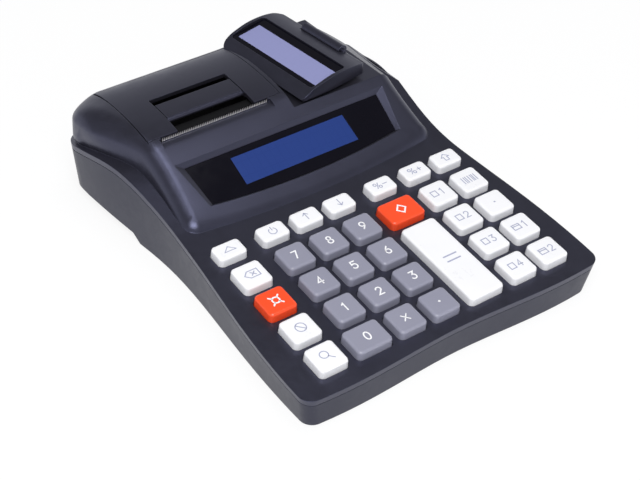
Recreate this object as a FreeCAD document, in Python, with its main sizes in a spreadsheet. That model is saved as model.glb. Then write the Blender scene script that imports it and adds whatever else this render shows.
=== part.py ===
"""Portable ticket register: a sloping keyboard in front, a display panel and a thermal
printer behind it, and a small customer display that lies in a recess beside the printer.

Millimetres. X runs to the operator's right, Y away from the operator, Z up. While a piece
is drawn, Y starts at the front edge of the deck; node() moves it back by half the depth, so
that the origin is on the table, under the middle of the case.
"""
import FreeCAD, Part
import math
import os
import re
from FreeCAD import Placement, Rotation, Vector

SIZES = {
    # case
    "body_depth": 214.0,
    "front_half": 83.7,
    "flank_half": 81.0,
    "flank_at": 60.0,
    "waist_half": 76.2,
    "waist_at": 121.0,
    "rear_half": 82.0,
    "rear_at": 188.0,
    "front_bow": 2.2,
    "front_corner": 6.5,
    "rear_corner": 18.0,
    "wall_lean": 7.0,
    "corner_lean": 9.5,
    "flank_lean": 6.5,
    "rear_lean": 2.5,
    "wall": 2.2,
    "foot_height": 1.0,
    "floor": 2.2,
    "rim": 3.0,
    "seam": 0.3,
    "lip": 1.5,
    "tuck": 5.5,
    "tuck_at": 147.0,
    # deck with its side shoulders
    "deck_front": 18.5,
    "deck_tilt": 4.5,
    "deck_wall": 2.2,
    "shoulder_start": 98.0,
    "shoulder_mid": 34.6,
    "shoulder_top": 38.2,
    "shoulder_back": 33.5,
    "shoulder_rear": 24.5,
    # printer and display housing on the deck
    "dome_half": 73.0,
    "dome_foot": 105.5,
    "dome_foot_bow": 5.8,
    "dome_flare": 9.3,
    "dome_lean": 11.0,
    "dome_rear_lean": 1.0,
    "dome_corner": 8.0,
    "dome_round": 8.0,
    "panel_slope": 26.0,
    "ridge_at": 150.0,
    "ridge_height": 49.6,
    "crown_height": 53.0,
    "dome_rear_height": 43.0,
    # keys
    "key_width": 15.1,
    "key_pitch": 19.0,
    "small_key_depth": 10.45,
    "wide_key_width": 19.8,
    "zero_key_width": 19.0,
    "total_key_depth": 53.1,
    "key_corner": 2.4,
    "key_edge": 0.7,
    "key_rise": 4.2,
    "key_gap": 0.3,
    "key_flange": 0.8,
    "key_flange_height": 1.0,
    "key_travel": 2.8,
    "first_row": 16.5,
    "small_row": 92.1,
    "column_a": -62.7,
    "column_d": -1.0,
    "column_e": 21.65,
    "column_e_small": 23.5,
    "column_f": 44.4,
    "mat_height": 1.2,
    "board_height": 1.6,
    "key_board_width": 145.0,
    "key_board_depth": 92.0,
    "key_board_at": 6.0,
    "post_radius": 3.0,
    # operator's display window
    "window_foot": 119.3,
    "window_level": 33.3,
    "window_tilt": 24.1,
    "window_half_low": 53.7,
    "window_half_high": 56.2,
    "window_height": 21.8,
    "window_bow": 3.5,
    "window_bevel_side": 5.4,
    "window_bevel_top": 2.8,
    "window_bevel_depth": 2.3,
    "window_plate": 1.6,
    "window_seat": 1.5,
    "lcd_width": 65.8,
    "lcd_height": 15.7,
    "lcd_sunk": 0.15,
    "lcd_frame_width": 74.0,
    "lcd_frame_height": 18.0,
    "lcd_frame_depth": 4.2,
    "lcd_board_width": 82.0,
    "lcd_board_height": 25.0,
    # printer lid
    "lid_left": -66.0,
    "lid_right": 9.0,
    "lid_front": 155.9,
    "lid_gap": 0.35,
    "lid_axis_at": 203.0,
    "lid_axis_height": 46.4,
    "lid_barrel": 4.9,
    "lid_pin": 1.0,
    "running": 0.05,
    "clearance": 0.4,
    "notch_left": -49.5,
    "notch_right": -6.0,
    "notch_rear": 182.8,
    "lever_rear": 177.6,
    "lever_axis_at": 166.4,
    "lever_axis_height": 50.9,
    "lever_thickness": 2.2,
    "lever_barrel": 1.4,
    "lever_pin": 0.8,
    # printer mechanism
    "roller_at": 162.5,
    "roller_level": 42.8,
    "roller_radius": 5.0,
    "roller_left": -57.9,
    "roller_right": -0.9,
    "shaft_radius": 3.0,
    "journal_radius": 2.0,
    "cheek": 2.0,
    "gear_module": 0.6,
    "platen_teeth": 20,
    "drive_teeth": 24,
    "pinion_teeth": 12,
    "gear_left": 0.5,
    "gear_width": 3.0,
    "drive_back": 1.0,
    "pinion_back": 0.5,
    "axle_radius": 1.25,
    "motor_radius": 7.5,
    "motor_length": 20.0,
    "chassis_left": -61.5,
    "chassis_right": 5.1,
    "chassis_wall": 1.2,
    "chassis_front": 152.4,
    "chassis_rear": 206.5,
    "chassis_foot": 8.0,
    "chassis_top": 47.6,
    "bin_front": 174.0,
    "bin_top": 41.0,
    "tear_left": -59.0,
    "tear_right": 0.7,
    "tear_thickness": 0.6,
    "tear_foot": 43.0,
    "tear_top": 51.6,
    "tear_tooth": 0.8,
    "tear_teeth": 40,
    "head_thickness": 1.9,
    "head_foot": 30.0,
    "head_top": 44.5,
    # customer display
    "nest_left": 10.9,
    "nest_right": 61.0,
    "nest_front": 146.2,
    "nest_edge": 66.0,
    "nest_edge_slope": 35.0,
    "nest_edge_fall": 2.5,
    "nest_floor": 46.0,
    "client_x": 34.2,
    "client_y": 181.5,
    "client_level": 48.0,
    "client_turn": 7.0,
    "client_left": 21.9,
    "client_half": 20.5,
    "client_front": 32.2,
    "client_rear": 30.8,
    "client_end_bow": 1.2,
    "client_lcd_across": -1.3,
    "client_lcd_along": -1.6,
    "client_glass_along": -0.65,
    "client_glass_width": 22.6,
    "client_glass_length": 61.5,
    "client_glass": 1.2,
    "client_lcd_width": 14.5,
    "client_lcd_length": 58.6,
    "hinge_u": 18.6,
    "hinge_v": -3.4,
    "hinge_level": 6.0,
    "hinge_barrel": 2.9,
    "hinge_length": 28.0,
    "hinge_pin": 1.2,
    "swivel_disc": 6.5,
    "swivel_pin": 3.0,
    # inside the base
    "battery_width": 70.0,
    "battery_depth": 37.0,
    "battery_height": 18.0,
    "battery_at": 106.0,
    "battery_door_margin": 4.0,
    "main_board_left": 12.0,
    "main_board_width": 50.0,
    "main_board_at": 150.0,
    "main_board_depth": 58.0,
    "main_board_level": 8.0,
    "jack_width": 9.0,
    "jack_at": 14.0,
    "data_width": 16.0,
    "data_at": 28.0,
    "data_step": 18.0,
    "socket_height": 11.0,
    "socket_depth": 13.0,
    "screw_x": 76.5,
    "screw_y": 12.0,
    "screw_rear_x": 67.0,
    "screw_rear_y": 195.0,
    "screw_radius": 1.5,
    "screw_head": 2.7,
    "boss_radius": 3.2,
    "boss_split": 9.0,
    "boss_split_rear": 20.0,
    "foot_radius": 5.0,
    "foot_x": 64.0,
    "foot_y": 16.0,
    "foot_rear_y": 180.0,
}

# Each key: node, column x, row, width alias, depth alias. Rows count from the operator.
KEYS = [
    ("key_feed", "column_a", 5, "key_width", "small_key_depth"),
    ("key_power", "column_d - 2 * key_pitch", 5, "key_width", "small_key_depth"),
    ("key_up", "column_d - key_pitch", 5, "key_width", "small_key_depth"),
    ("key_down", "column_d", 5, "key_width", "small_key_depth"),
    ("key_percent_minus", "column_e_small", 5, "key_width", "small_key_depth"),
    ("key_percent_plus", "column_f", 5, "key_width", "small_key_depth"),
    ("key_shift", "column_f + key_pitch", 5, "key_width", "small_key_depth"),
    ("key_clear", "column_a", 4, "key_width", "key_width"),
    ("key_7", "column_d - 2 * key_pitch", 4, "key_width", "key_width"),
    ("key_8", "column_d - key_pitch", 4, "key_width", "key_width"),
    ("key_9", "column_d", 4, "key_width", "key_width"),
    ("key_subtotal", "column_e", 4, "wide_key_width", "key_width"),
    ("key_department_1", "column_f", 4, "key_width", "key_width"),
    ("key_barcode", "column_f + key_pitch", 4, "key_width", "key_width"),
    ("key_price", "column_a", 3, "key_width", "key_width"),
    ("key_4", "column_d - 2 * key_pitch", 3, "key_width", "key_width"),
    ("key_5", "column_d - key_pitch", 3, "key_width", "key_width"),
    ("key_6", "column_d", 3, "key_width", "key_width"),
    ("key_department_2", "column_f", 3, "key_width", "key_width"),
    ("key_dot", "column_f + key_pitch", 3, "key_width", "key_width"),
    ("key_void", "column_a", 2, "key_width", "key_width"),
    ("key_1", "column_d - 2 * key_pitch", 2, "key_width", "key_width"),
    ("key_2", "column_d - key_pitch", 2, "key_width", "key_width"),
    ("key_3", "column_d", 2, "key_width", "key_width"),
    ("key_total", "column_e", 2, "wide_key_width", "total_key_depth"),
    ("key_department_3", "column_f", 2, "key_width", "key_width"),
    ("key_payment_1", "column_f + key_pitch", 2, "key_width", "key_width"),
    ("key_lookup", "column_a", 1, "key_width", "key_width"),
    ("key_0", "column_d - 2 * key_pitch - (zero_key_width - key_width) / 2", 1,
     "zero_key_width", "key_width"),
    ("key_multiply", "column_d - key_pitch", 1, "key_width", "key_width"),
    ("key_point", "column_d", 1, "key_width", "key_width"),
    ("key_department_4", "column_f", 1, "key_width", "key_width"),
    ("key_payment_2", "column_f + key_pitch", 1, "key_width", "key_width"),
]

doc = FreeCAD.newDocument("ticket_register")
sheet = doc.addObject("Spreadsheet::Sheet", "sizes")
for line, (alias, value) in enumerate(SIZES.items(), start=1):
    sheet.set(f"A{line}", alias)
    sheet.set(f"B{line}", str(value))
    sheet.setAlias(f"B{line}", alias)
doc.recompute()

# Tilted frames: the origin's Y and Z, the angle about X, as formulas of the sheet.
FRAMES = {
    "case": ("0", "0", "0"),
    "deck": ("0", "deck_front", "deck_tilt"),
    "window": ("window_foot", "window_level", "window_tilt"),
}
nodes = {}
drawn_y = {}


# Small tools

def size(alias):
    """The number in the sheet's cell of this name."""
    return float(sheet.get(alias))


def value_of(formula):
    """The value of a formula of the sheet's names, for pieces that are set in code."""
    return float(sheet.evalExpression(linked(formula)))


def linked(formula):
    """The same formula with each size's name pointed at the sheet."""
    def point(match):
        word = match.group()
        return "sizes." + word if word in SIZES else word
    return re.sub(r"[a-z][a-z_0-9]*", point, str(formula))


def bind(item, **formulas):
    """Bind properties of an object to formulas of the sheet."""
    for name, formula in formulas.items():
        item.setExpression(name.replace("_", "."), linked(formula))


def place(item, x="0", y="0", z="0", frame="case"):
    """Put an object at x, y, z of a frame, bound to the sheet."""
    start_y, start_z, angle = FRAMES[frame]
    if frame == "case":
        world_y, world_z = y, z
    else:
        world_y = f"{start_y} + ({y}) * cos({angle}) - ({z}) * sin({angle})"
        world_z = f"{start_z} + ({y}) * sin({angle}) + ({z}) * cos({angle})"
        item.Placement = Placement(Vector(), Rotation(Vector(1, 0, 0), size(angle)))
        item.setExpression("Placement.Rotation.Angle", linked(angle))
    bind(item, Placement_Base_x=x, Placement_Base_y=world_y, Placement_Base_z=world_z)
    drawn_y[item.Name] = world_y
    return item


def box(name, x, y, z, frame="case"):
    """A block between two formulas on each axis."""
    item = doc.addObject("Part::Box", name)
    bind(item, Length=f"({x[1]}) - ({x[0]})", Width=f"({y[1]}) - ({y[0]})")
    bind(item, Height=f"({z[1]}) - ({z[0]})")
    return place(item, x[0], y[0], z[0], frame)


def rod(name, radius, start, end, across, along="x"):
    """A round bar from start to end along X or Z; across gives its other two places."""
    item = doc.addObject("Part::Cylinder", name)
    bind(item, Radius=radius, Height=f"({end}) - ({start})")
    if along == "x":
        item.Placement = Placement(Vector(), Rotation(Vector(0, 1, 0), 90))
        return place(item, start, across[0], across[1])
    return place(item, across[0], across[1], start)


def solid(name, shape):
    """A shape that is set in code, because it is lofted, filleted or toothed."""
    item = doc.addObject("Part::Feature", name)
    item.Shape = shape
    drawn_y[item.Name] = str(shape.Placement.Base.y)
    return item


def fuse(name, *items):
    item = doc.addObject("Part::MultiFuse", name)
    item.Shapes = list(items)
    return item


def cut(name, base, *tools):
    item = doc.addObject("Part::Cut", name)
    item.Base = base
    item.Tool = tools[0] if len(tools) == 1 else fuse(name + "_tools", *tools)
    return item


def common(name, *items):
    item = doc.addObject("Part::MultiCommon", name)
    item.Shapes = list(items)
    return item


def node(name, item):
    """Name a finished piece and move it back by half the depth of the case."""
    item.Label = name
    bind(item, Placement_Base_y=f"{drawn_y.get(item.Name, '0')} - body_depth / 2")
    nodes[name] = item
    return item


def spline(points, start=None, end=None):
    """One smooth edge through a few points, with given end directions if any."""
    curve = Part.BSplineCurve()
    if start is None:
        curve.interpolate(points)
    else:
        curve.interpolate(Points=points, InitialTangent=start, FinalTangent=end)
    return curve.toShape()


def lines(points):
    """Straight edges through the points, closed."""
    return Part.makePolygon(points + [points[0]])


def prism(wire, along):
    return Part.Face(wire).extrude(along)


def side_prism(edges, half=100.0):
    """A profile in the YZ plane, drawn out to both sides."""
    face = Part.Face(Part.Wire(edges))
    face.translate(Vector(-half, 0, 0))
    return face.extrude(Vector(2 * half, 0, 0))


def upright_edges(shape, front):
    """The corner edges of a lofted wall, at its front or at its rear."""
    middle = size("body_depth") * 0.75
    found = []
    for edge in shape.Edges:
        rise = edge.Vertexes[-1].Point.z - edge.Vertexes[0].Point.z
        if abs(rise) > 5 and (edge.CenterOfMass.y < middle) == front:
            found.append(edge)
    return found


# Case: the outline with its waist and its bowed front, and the walls that lean outwards

def case_outline(level, grow):
    def leaning(lean, start="deck_front"):
        return grow + (level - size(start)) * math.tan(math.radians(size(lean)))

    out = leaning("wall_lean")
    front = size("front_half") + leaning("corner_lean")
    flank = size("flank_half") + leaning("flank_lean")
    waist = size("waist_half") + leaning("rear_lean")
    rear = size("rear_half") + leaning("rear_lean")
    depth = size("body_depth") + leaning("wall_lean", "shoulder_rear")
    bow = size("front_bow")

    def at(x, y):
        return Vector(x, y, level)

    corner = bow / 2 - out
    face = spline([at(-front, corner), at(-0.6 * front, -out), at(0, bow - out),
                   at(0.6 * front, -out), at(front, corner)])
    side = [(front, corner), (flank, size("flank_at")), (waist, size("waist_at")),
            (rear, size("rear_at")), (rear, depth)]
    right = spline([at(x, y) for x, y in side])
    left = spline([at(-x, y) for x, y in reversed(side)])
    back = Part.makeLine(at(rear, depth), at(-rear, depth))
    return Part.Wire([face, right, back, left])


def tuck_wedges(grow, floor_level):
    """What is cut from under the rear half, so that its walls turn in above the table."""
    leg = size("tuck") - grow * (math.sqrt(2) - 1)
    start = size("tuck_at")
    depth = size("body_depth") + grow
    edge = size("rear_half") + grow
    inner = size("waist_half") + 2.5 + grow
    low = floor_level - 5

    def triangle(y, x, reach):
        return lines([Vector(x - reach - 5, y, low), Vector(x + 15, y, low),
                      Vector(x + 15, y, floor_level + reach + 15)])

    side = Part.makeLoft([triangle(start - 5, inner, -2), triangle(start + 5, inner + 0.8, leg),
                          triangle(size("rear_at"), edge, leg), triangle(depth + 10, edge, leg)],
                         True, True)
    across = lines([Vector(-100, depth - leg - 5, low), Vector(-100, depth + 15, low),
                    Vector(-100, depth + 15, floor_level + leg + 15)])
    back = prism(across, Vector(200, 0, 0))
    reach = size("rear_corner") * (1 - math.sqrt(0.5))
    corner = back.copy()
    corner.translate(Vector(0, -depth, 0))
    corner.rotate(Vector(), Vector(0, 0, 1), -45)
    corner.translate(Vector(edge - reach, depth - reach, 0))
    return [side, side.mirror(Vector(), Vector(1, 0, 0)), back,
            corner, corner.mirror(Vector(), Vector(1, 0, 0))]


def case_block(low, high, grow):
    block = Part.makeLoft([case_outline(low, grow), case_outline(high, grow)], True, True)
    block = block.makeFillet(size("front_corner") + grow, upright_edges(block, True))
    block = block.makeFillet(size("rear_corner") + grow, upright_edges(block, False))
    floor_level = size("foot_height") - grow
    return block.cut(tuck_wedges(grow, floor_level))


def under_deck(drop):
    """Everything below the deck and its shoulders, lowered by drop."""
    slope = math.tan(math.radians(size("deck_tilt")))
    end = size("body_depth") + 6
    low = -20.0
    bend = size("shoulder_start")

    def deck(y):
        return Vector(0, y, size("deck_front") + y * slope - drop)

    middle = (bend + size("body_depth")) / 2
    rear = Vector(0, end, size("shoulder_rear") - drop)
    shoulder = spline([deck(bend), Vector(0, middle - 16, size("shoulder_mid") - drop),
                       Vector(0, middle + 4, size("shoulder_top") - drop),
                       Vector(0, middle + 32, size("shoulder_back") - drop), rear],
                      Vector(0, 1, slope), Vector(0, 1, -0.35))
    return side_prism([Part.makeLine(deck(-20), deck(bend)), shoulder,
                       Part.makeLine(rear, Vector(0, end, low)),
                       Part.makeLine(Vector(0, end, low), Vector(0, -20, low)),
                       Part.makeLine(Vector(0, -20, low), deck(-20))])


# Housing on the deck: leaning walls under one long profile, with rounded shoulders

def dome_outline(level, grow):
    rise = level - size("deck_front") - 8.5
    out = grow - rise * math.tan(math.radians(size("dome_lean")))
    half = size("dome_half") + out
    foot = size("dome_foot") - 0.6 * out
    ends = foot + size("dome_foot_bow")
    depth = size("body_depth") + grow - rise * 0.05
    flank = size("dome_half") + grow - rise * math.tan(math.radians(size("dome_lean") * 0.6))
    rear = grow - rise * math.tan(math.radians(size("dome_rear_lean")))
    rear += size("dome_half") + size("dome_flare")

    def at(x, y):
        return Vector(x, y, level)

    front = Part.Arc(at(-half, ends), at(0, foot), at(half, ends)).toShape()
    side = [(half, ends), (half + 0.4, size("ridge_at")),
            (flank + size("dome_flare") * 0.6, size("rear_at") - 2), (rear, depth)]
    right = spline([at(x, y) for x, y in side])
    left = spline([at(-x, y) for x, y in reversed(side)])
    back = Part.makeLine(at(rear, depth), at(-rear, depth))
    return Part.Wire([front, right, back, left])


def dome_block(grow, low, high=60.0):
    block = Part.makeLoft([dome_outline(low, grow), dome_outline(high, grow)], True, True)
    block = block.makeFillet(size("dome_corner") + grow, upright_edges(block, True))
    block = block.makeFillet(size("rear_corner") + grow, upright_edges(block, False))
    slope = math.tan(math.radians(size("panel_slope")))
    ridge = size("ridge_at")
    top = size("crown_height") + grow
    rise = size("ridge_height") + grow
    end = size("body_depth") + 1
    start = ridge - 60
    bottom = low - 1
    panel_foot = Vector(0, start, rise - 60 * slope)
    ridge_point = Vector(0, ridge, rise)
    rear_point = Vector(0, end, size("dome_rear_height") + grow)
    crest = spline([ridge_point, Vector(0, ridge + 10, (2 * rise + 5 * top) / 7),
                    Vector(0, ridge + 26, top), Vector(0, ridge + 44, top - 0.8),
                    Vector(0, end - 8, top - 3.8), rear_point],
                   Vector(0, 1, slope), Vector(0, 1, -1.2))
    profile = side_prism([Part.makeLine(panel_foot, ridge_point), crest,
                          Part.makeLine(rear_point, Vector(0, end, bottom)),
                          Part.makeLine(Vector(0, end, bottom), Vector(0, start, bottom)),
                          Part.makeLine(Vector(0, start, bottom), panel_foot)])
    block = block.common(profile)
    shoulders = []
    for edge in block.Edges:
        reach = edge.BoundBox
        if reach.YLength > 20 and abs(edge.CenterOfMass.x) > 50 and reach.ZMin > low + 8:
            shoulders.append(edge)
    return block.makeFillet(size("dome_round") + grow, shoulders)


foot_level = size("foot_height")
wall = size("wall")
case_solid = solid("case_solid", case_block(foot_level, 60.0, 0))
case_space = solid("case_space", case_block(foot_level + size("floor"), 61.0, -wall))
dome_solid = solid("dome_solid", dome_block(0, 20.0).common(case_solid.Shape))
dome_space = solid("dome_space", dome_block(-wall, 14.0).common(case_space.Shape))
base_height = solid("base_height", under_deck(size("rim") + size("seam")))
lip_height = solid("lip_height", under_deck(size("rim") - size("lip")))
rim_height = solid("rim_height", under_deck(size("rim")))
deck_height = solid("deck_height", under_deck(0))
deck_space = solid("deck_space", under_deck(size("deck_wall")))
lip_relief = solid("lip_relief", under_deck(size("rim") - size("lip") - size("clearance") / 4))


# Base shell: floor and lower wall, a lip behind the seam, posts and bosses

def screw_places():
    for sign in ("", "-"):
        yield f"{sign}screw_x", "screw_y", "boss_split"
        yield f"{sign}screw_rear_x", "screw_rear_y", "boss_split_rear"


def foot_places():
    for sign in ("", "-"):
        yield f"{sign}foot_x", "foot_y"
        yield f"{sign}foot_x", "foot_rear_y"


def key_board_level():
    return "-deck_wall - 2 * key_gap - key_flange_height - key_travel - mat_height - board_height"


def make_base_shell():
    skin = cut("base_skin", common("base_outer", case_solid, base_height), case_space)
    ring = cut("lip_ring", solid("lip_outer", case_block(foot_level, 60.0, -wall / 2 - 0.1)),
               case_space)
    above = cut("lip_band", lip_height, solid("below_seam", under_deck(size("rim") + 3)))
    lip = common("base_lip", ring, above)
    posts = []
    for number, (x, y) in enumerate([("-50", "25"), ("50", "25"), ("0", "45"),
                                     ("-50", "83"), ("50", "83")]):
        post = doc.addObject("Part::Cylinder", f"key_board_post_{number}")
        bind(post, Radius="post_radius", Height="30")
        posts.append(place(post, x, y, key_board_level() + " - 30", "deck"))
    for number, (x, y) in enumerate([("chassis_left + 5", "chassis_front + 5"),
                                     ("chassis_right - 5", "chassis_front + 5"),
                                     ("chassis_left + 5", "chassis_rear - 6"),
                                     ("chassis_right - 5", "chassis_rear - 6")]):
        posts.append(rod(f"chassis_post_{number}", "post_radius", "foot_height", "chassis_foot",
                         (x, y), "z"))
    for number, (x, y) in enumerate([("main_board_left + 5", "main_board_at + 5"),
                                     ("main_board_left + main_board_width - 5",
                                      "main_board_at + 5"),
                                     ("main_board_left + 5",
                                      "main_board_at + main_board_depth - 5"),
                                     ("main_board_left + main_board_width - 5",
                                      "main_board_at + main_board_depth - 5")]):
        posts.append(rod(f"main_board_post_{number}", "post_radius", "foot_height",
                         "main_board_level", (x, y), "z"))
    bosses = [rod(f"base_boss_{number}", "boss_radius", "foot_height", split, (x, y), "z")
              for number, (x, y, split) in enumerate(screw_places())]
    inside = common("base_posts", fuse("all_posts", *posts, *bosses), case_solid)
    tray = box("battery_tray", ("-battery_width / 2 - 2", "battery_width / 2 + 2"),
               ("battery_at - 2", "battery_at + battery_depth + 2"), ("foot_height", "10"))
    pocket = box("battery_pocket", ("-battery_width / 2 - clearance", "battery_width / 2 + clearance"),
                 ("battery_at - clearance", "battery_at + battery_depth + clearance"),
                 ("foot_height - 1", "11"))
    door = box("battery_door_cut",
               ("-battery_width / 2 - battery_door_margin",
                "battery_width / 2 + battery_door_margin"),
               ("battery_at - battery_door_margin",
                "battery_at + battery_depth + battery_door_margin"),
               ("foot_height - 1", "foot_height + floor / 2"))
    cuts = [pocket, door]
    for number, (x, y, split) in enumerate(screw_places()):
        cuts.append(rod(f"screw_way_{number}", "screw_radius + clearance / 2", "foot_height - 1",
                        split + " + 1", (x, y), "z"))
        cuts.append(rod(f"screw_sink_{number}", "screw_head + clearance / 2", "foot_height - 1",
                        "foot_height + 3.2", (x, y), "z"))
    for number, (x, y) in enumerate(foot_places()):
        cuts.append(rod(f"foot_seat_{number}", "foot_radius", "foot_height - 1",
                        "foot_height + 1", (x, y), "z"))
    rear = ("body_depth - 8", "body_depth + 5")
    cuts.append(box("jack_window", ("jack_at - clearance", "jack_at + jack_width + clearance"), rear,
                    ("main_board_level + board_height - clearance",
                     "main_board_level + board_height + socket_height + clearance")))
    for number in range(2):
        start = f"data_at + {number} * data_step"
        cuts.append(box(f"data_window_{number}", (f"{start} - clearance",
                                                  f"{start} + data_width + clearance"), rear,
                        ("main_board_level + board_height - clearance",
                         "main_board_level + board_height + socket_height + clearance")))
    whole = fuse("base_whole", skin, lip, inside, tray)
    node("base_shell", cut("base_shell", whole, *cuts))


# Top housing: rim, deck and dome in one moulding

def window_outline(low, high, bottom, top, level):
    """The display window's outline in its own tilted plane, with its bowed lower edge."""
    left_low = Vector(-low, bottom, level)
    right_low = Vector(low, bottom, level)
    bowed = Part.Arc(left_low, Vector(0, bottom - size("window_bow"), level), right_low)
    return Part.Wire([bowed.toShape(), Part.makeLine(right_low, Vector(high, top, level)),
                      Part.makeLine(Vector(high, top, level), Vector(-high, top, level)),
                      Part.makeLine(Vector(-high, top, level), left_low)])


def to_window(shape):
    shape.rotate(Vector(), Vector(1, 0, 0), size("window_tilt"))
    shape.translate(Vector(0, size("window_foot"), size("window_level")))
    return shape


def window_plate_outline(grow, level):
    return window_outline(size("window_half_low") + grow, size("window_half_high") + grow,
                          -grow, size("window_height") + grow, level)


def window_recess():
    side = size("window_bevel_side")
    depth = size("window_bevel_depth")
    wide = window_outline(size("window_half_low") + side * 0.7, size("window_half_high") + side,
                          -2.0, size("window_height") + size("window_bevel_top"), depth)
    bevel = Part.makeLoft([window_plate_outline(0.15, 0), wide], True, True)
    above = prism(wide, Vector(0, 0, 6))
    seat = prism(window_plate_outline(0.15, -size("window_plate") - 0.05),
                 Vector(0, 0, size("window_plate") + 0.1))
    through = prism(window_plate_outline(-size("window_seat"), -12), Vector(0, 0, 12))
    return to_window(bevel.fuse([above, seat, through]))


def key_row_at(row):
    return "small_row" if row == 5 else f"first_row + {row - 1} * key_pitch"


def rounded_block(width, depth, low, high, corner):
    block = Part.makeBox(width, depth, high - low, Vector(-width / 2, -depth / 2, low))
    edges = [edge for edge in block.Edges
             if abs(edge.Vertexes[0].Point.z - edge.Vertexes[-1].Point.z) > (high - low) / 2]
    return block.makeFillet(corner, edges)


def key_holes():
    gap = size("key_gap")
    holes = []
    for name, x, row, width, depth in KEYS:
        hole = rounded_block(size(width) + 2 * gap, size(depth) + 2 * gap, -6, 3,
                             size("key_corner") + gap)
        hole.translate(Vector(value_of(x), value_of(key_row_at(row)), 0))
        holes.append(hole)
    block = Part.makeCompound(holes)
    block.rotate(Vector(), Vector(1, 0, 0), size("deck_tilt"))
    block.translate(Vector(0, 0, size("deck_front")))
    return block


def tear_ledge():
    """The shallow slope that the paper is torn across."""
    rear = size("lid_front") - 1.0
    front = rear - 6
    panel = size("ridge_height") - 0.4
    wire = lines([Vector(size("tear_left") - 1.5, front, panel),
                  Vector(size("tear_left") - 1.5, rear, panel + 0.4),
                  Vector(size("tear_left") - 1.5, rear, panel + 9),
                  Vector(size("tear_left") - 1.5, front, panel + 9)])
    return prism(wire, Vector(size("tear_right") - size("tear_left") + 3, 0, 0))


def nest_side(lower):
    """The recess falls away to the right, over the shoulder of the dome, or lower by this."""
    front = size("nest_front")
    end = size("body_depth") + 9
    drop = math.tan(math.radians(size("nest_edge_slope")))

    def section(y, x, z):
        far = 95
        return lines([Vector(x, y, z), Vector(far, y, z - (far - x) * drop), Vector(far, y, 70),
                      Vector(x, y, 70)])

    edge = size("nest_edge")
    floor_level = size("nest_floor")
    fall = size("nest_edge_fall")
    side = Part.makeLoft([section(front, edge, floor_level),
                          section(end, edge - 3, floor_level - fall)], True, True)
    gap = Part.makeBox(edge + 1 - size("nest_right"), end - front, 24 + fall,
                       Vector(size("nest_right"), front, floor_level))
    region = side.fuse(gap)
    region.translate(Vector(-lower / 2, -lower, -lower))
    return region


def make_top_housing():
    rim = cut("rim_band", common("deck_outer", case_solid, deck_height), rim_height)
    deck_hollow = common("deck_hollow", case_space, deck_space)
    relief = common("rim_relief", lip_relief,
                    solid("relief_outer", case_block(foot_level, 60.0, -wall / 2)))
    plate = cut("deck_plate", rim, deck_hollow, relief)
    inside = [
        solid("window_backing", to_window(prism(window_plate_outline(3.5, -3.1),
                                                Vector(0, 0, 9)))),
        box("nest_block", ("lid_right", "nest_edge"), ("nest_front - wall", "body_depth"),
            ("nest_floor - wall", "60")),
        solid("nest_side_block", nest_side(wall)),
        box("left_ear", ("lid_left - 2.6", "lid_left"), ("lid_axis_at - 5", "lid_axis_at + 5"),
            ("lid_axis_height - 5", "60")),
    ]
    frames = common("dome_frames", fuse("frame_blocks", *inside), dome_solid)
    bosses = []
    for number, (x, y, split) in enumerate(screw_places()):
        bosses.append(rod(f"housing_boss_{number}", "boss_radius", split + " + seam", "56",
                          (x, y), "z"))
    outer_all = fuse("outer_all", dome_solid, common("under_plate", case_solid, deck_height))
    boss_part = common("housing_bosses", fuse("all_bosses", *bosses), outer_all)
    dome_skin = cut("dome_skin", dome_solid, dome_space, deck_hollow, rim_height, relief)
    open_plate = cut("open_plate", plate, dome_space)
    whole = fuse("housing_whole", open_plate, dome_skin, frames, boss_part)
    axis = ("lid_axis_at", "lid_axis_height")
    cuts = [
        solid("window_recess", window_recess()),
        solid("key_holes", key_holes()),
        solid("tear_ledge", tear_ledge()),
        box("lid_cut", ("lid_left", "lid_right"), ("lid_front - lid_gap", "lid_axis_at"),
            ("chassis_foot", "60")),
        box("tear_cut", ("tear_left - lid_gap", "tear_right + lid_gap"),
            ("lid_front - 1.5 - lid_gap / 2", "lid_front"), ("chassis_foot", "60")),
        rod("barrel_cut", "lid_barrel + clearance", "lid_left", "lid_right", axis),
        rod("lid_pin_seat", "lid_pin", "lid_left - 2", "nest_left - 0.9", axis),
        box("nest_cut", ("nest_left", "nest_right"), ("nest_front", "body_depth + 9"),
            ("nest_floor", "70")),
        solid("nest_side", nest_side(0)),
        rod("swivel_seat", "swivel_pin + running", "nest_floor - 9", "nest_floor + 9",
            swivel_place(), "z"),
    ]
    for number, (x, y, split) in enumerate(screw_places()):
        cuts.append(rod(f"screw_bite_{number}", "screw_radius", split, split + " + 7",
                        (x, y), "z"))
    opened = cut("housing_open", whole, *cuts)
    node("top_housing", cut("top_housing", opened, solid("client_room", client_room())))


# Operator's display

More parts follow.
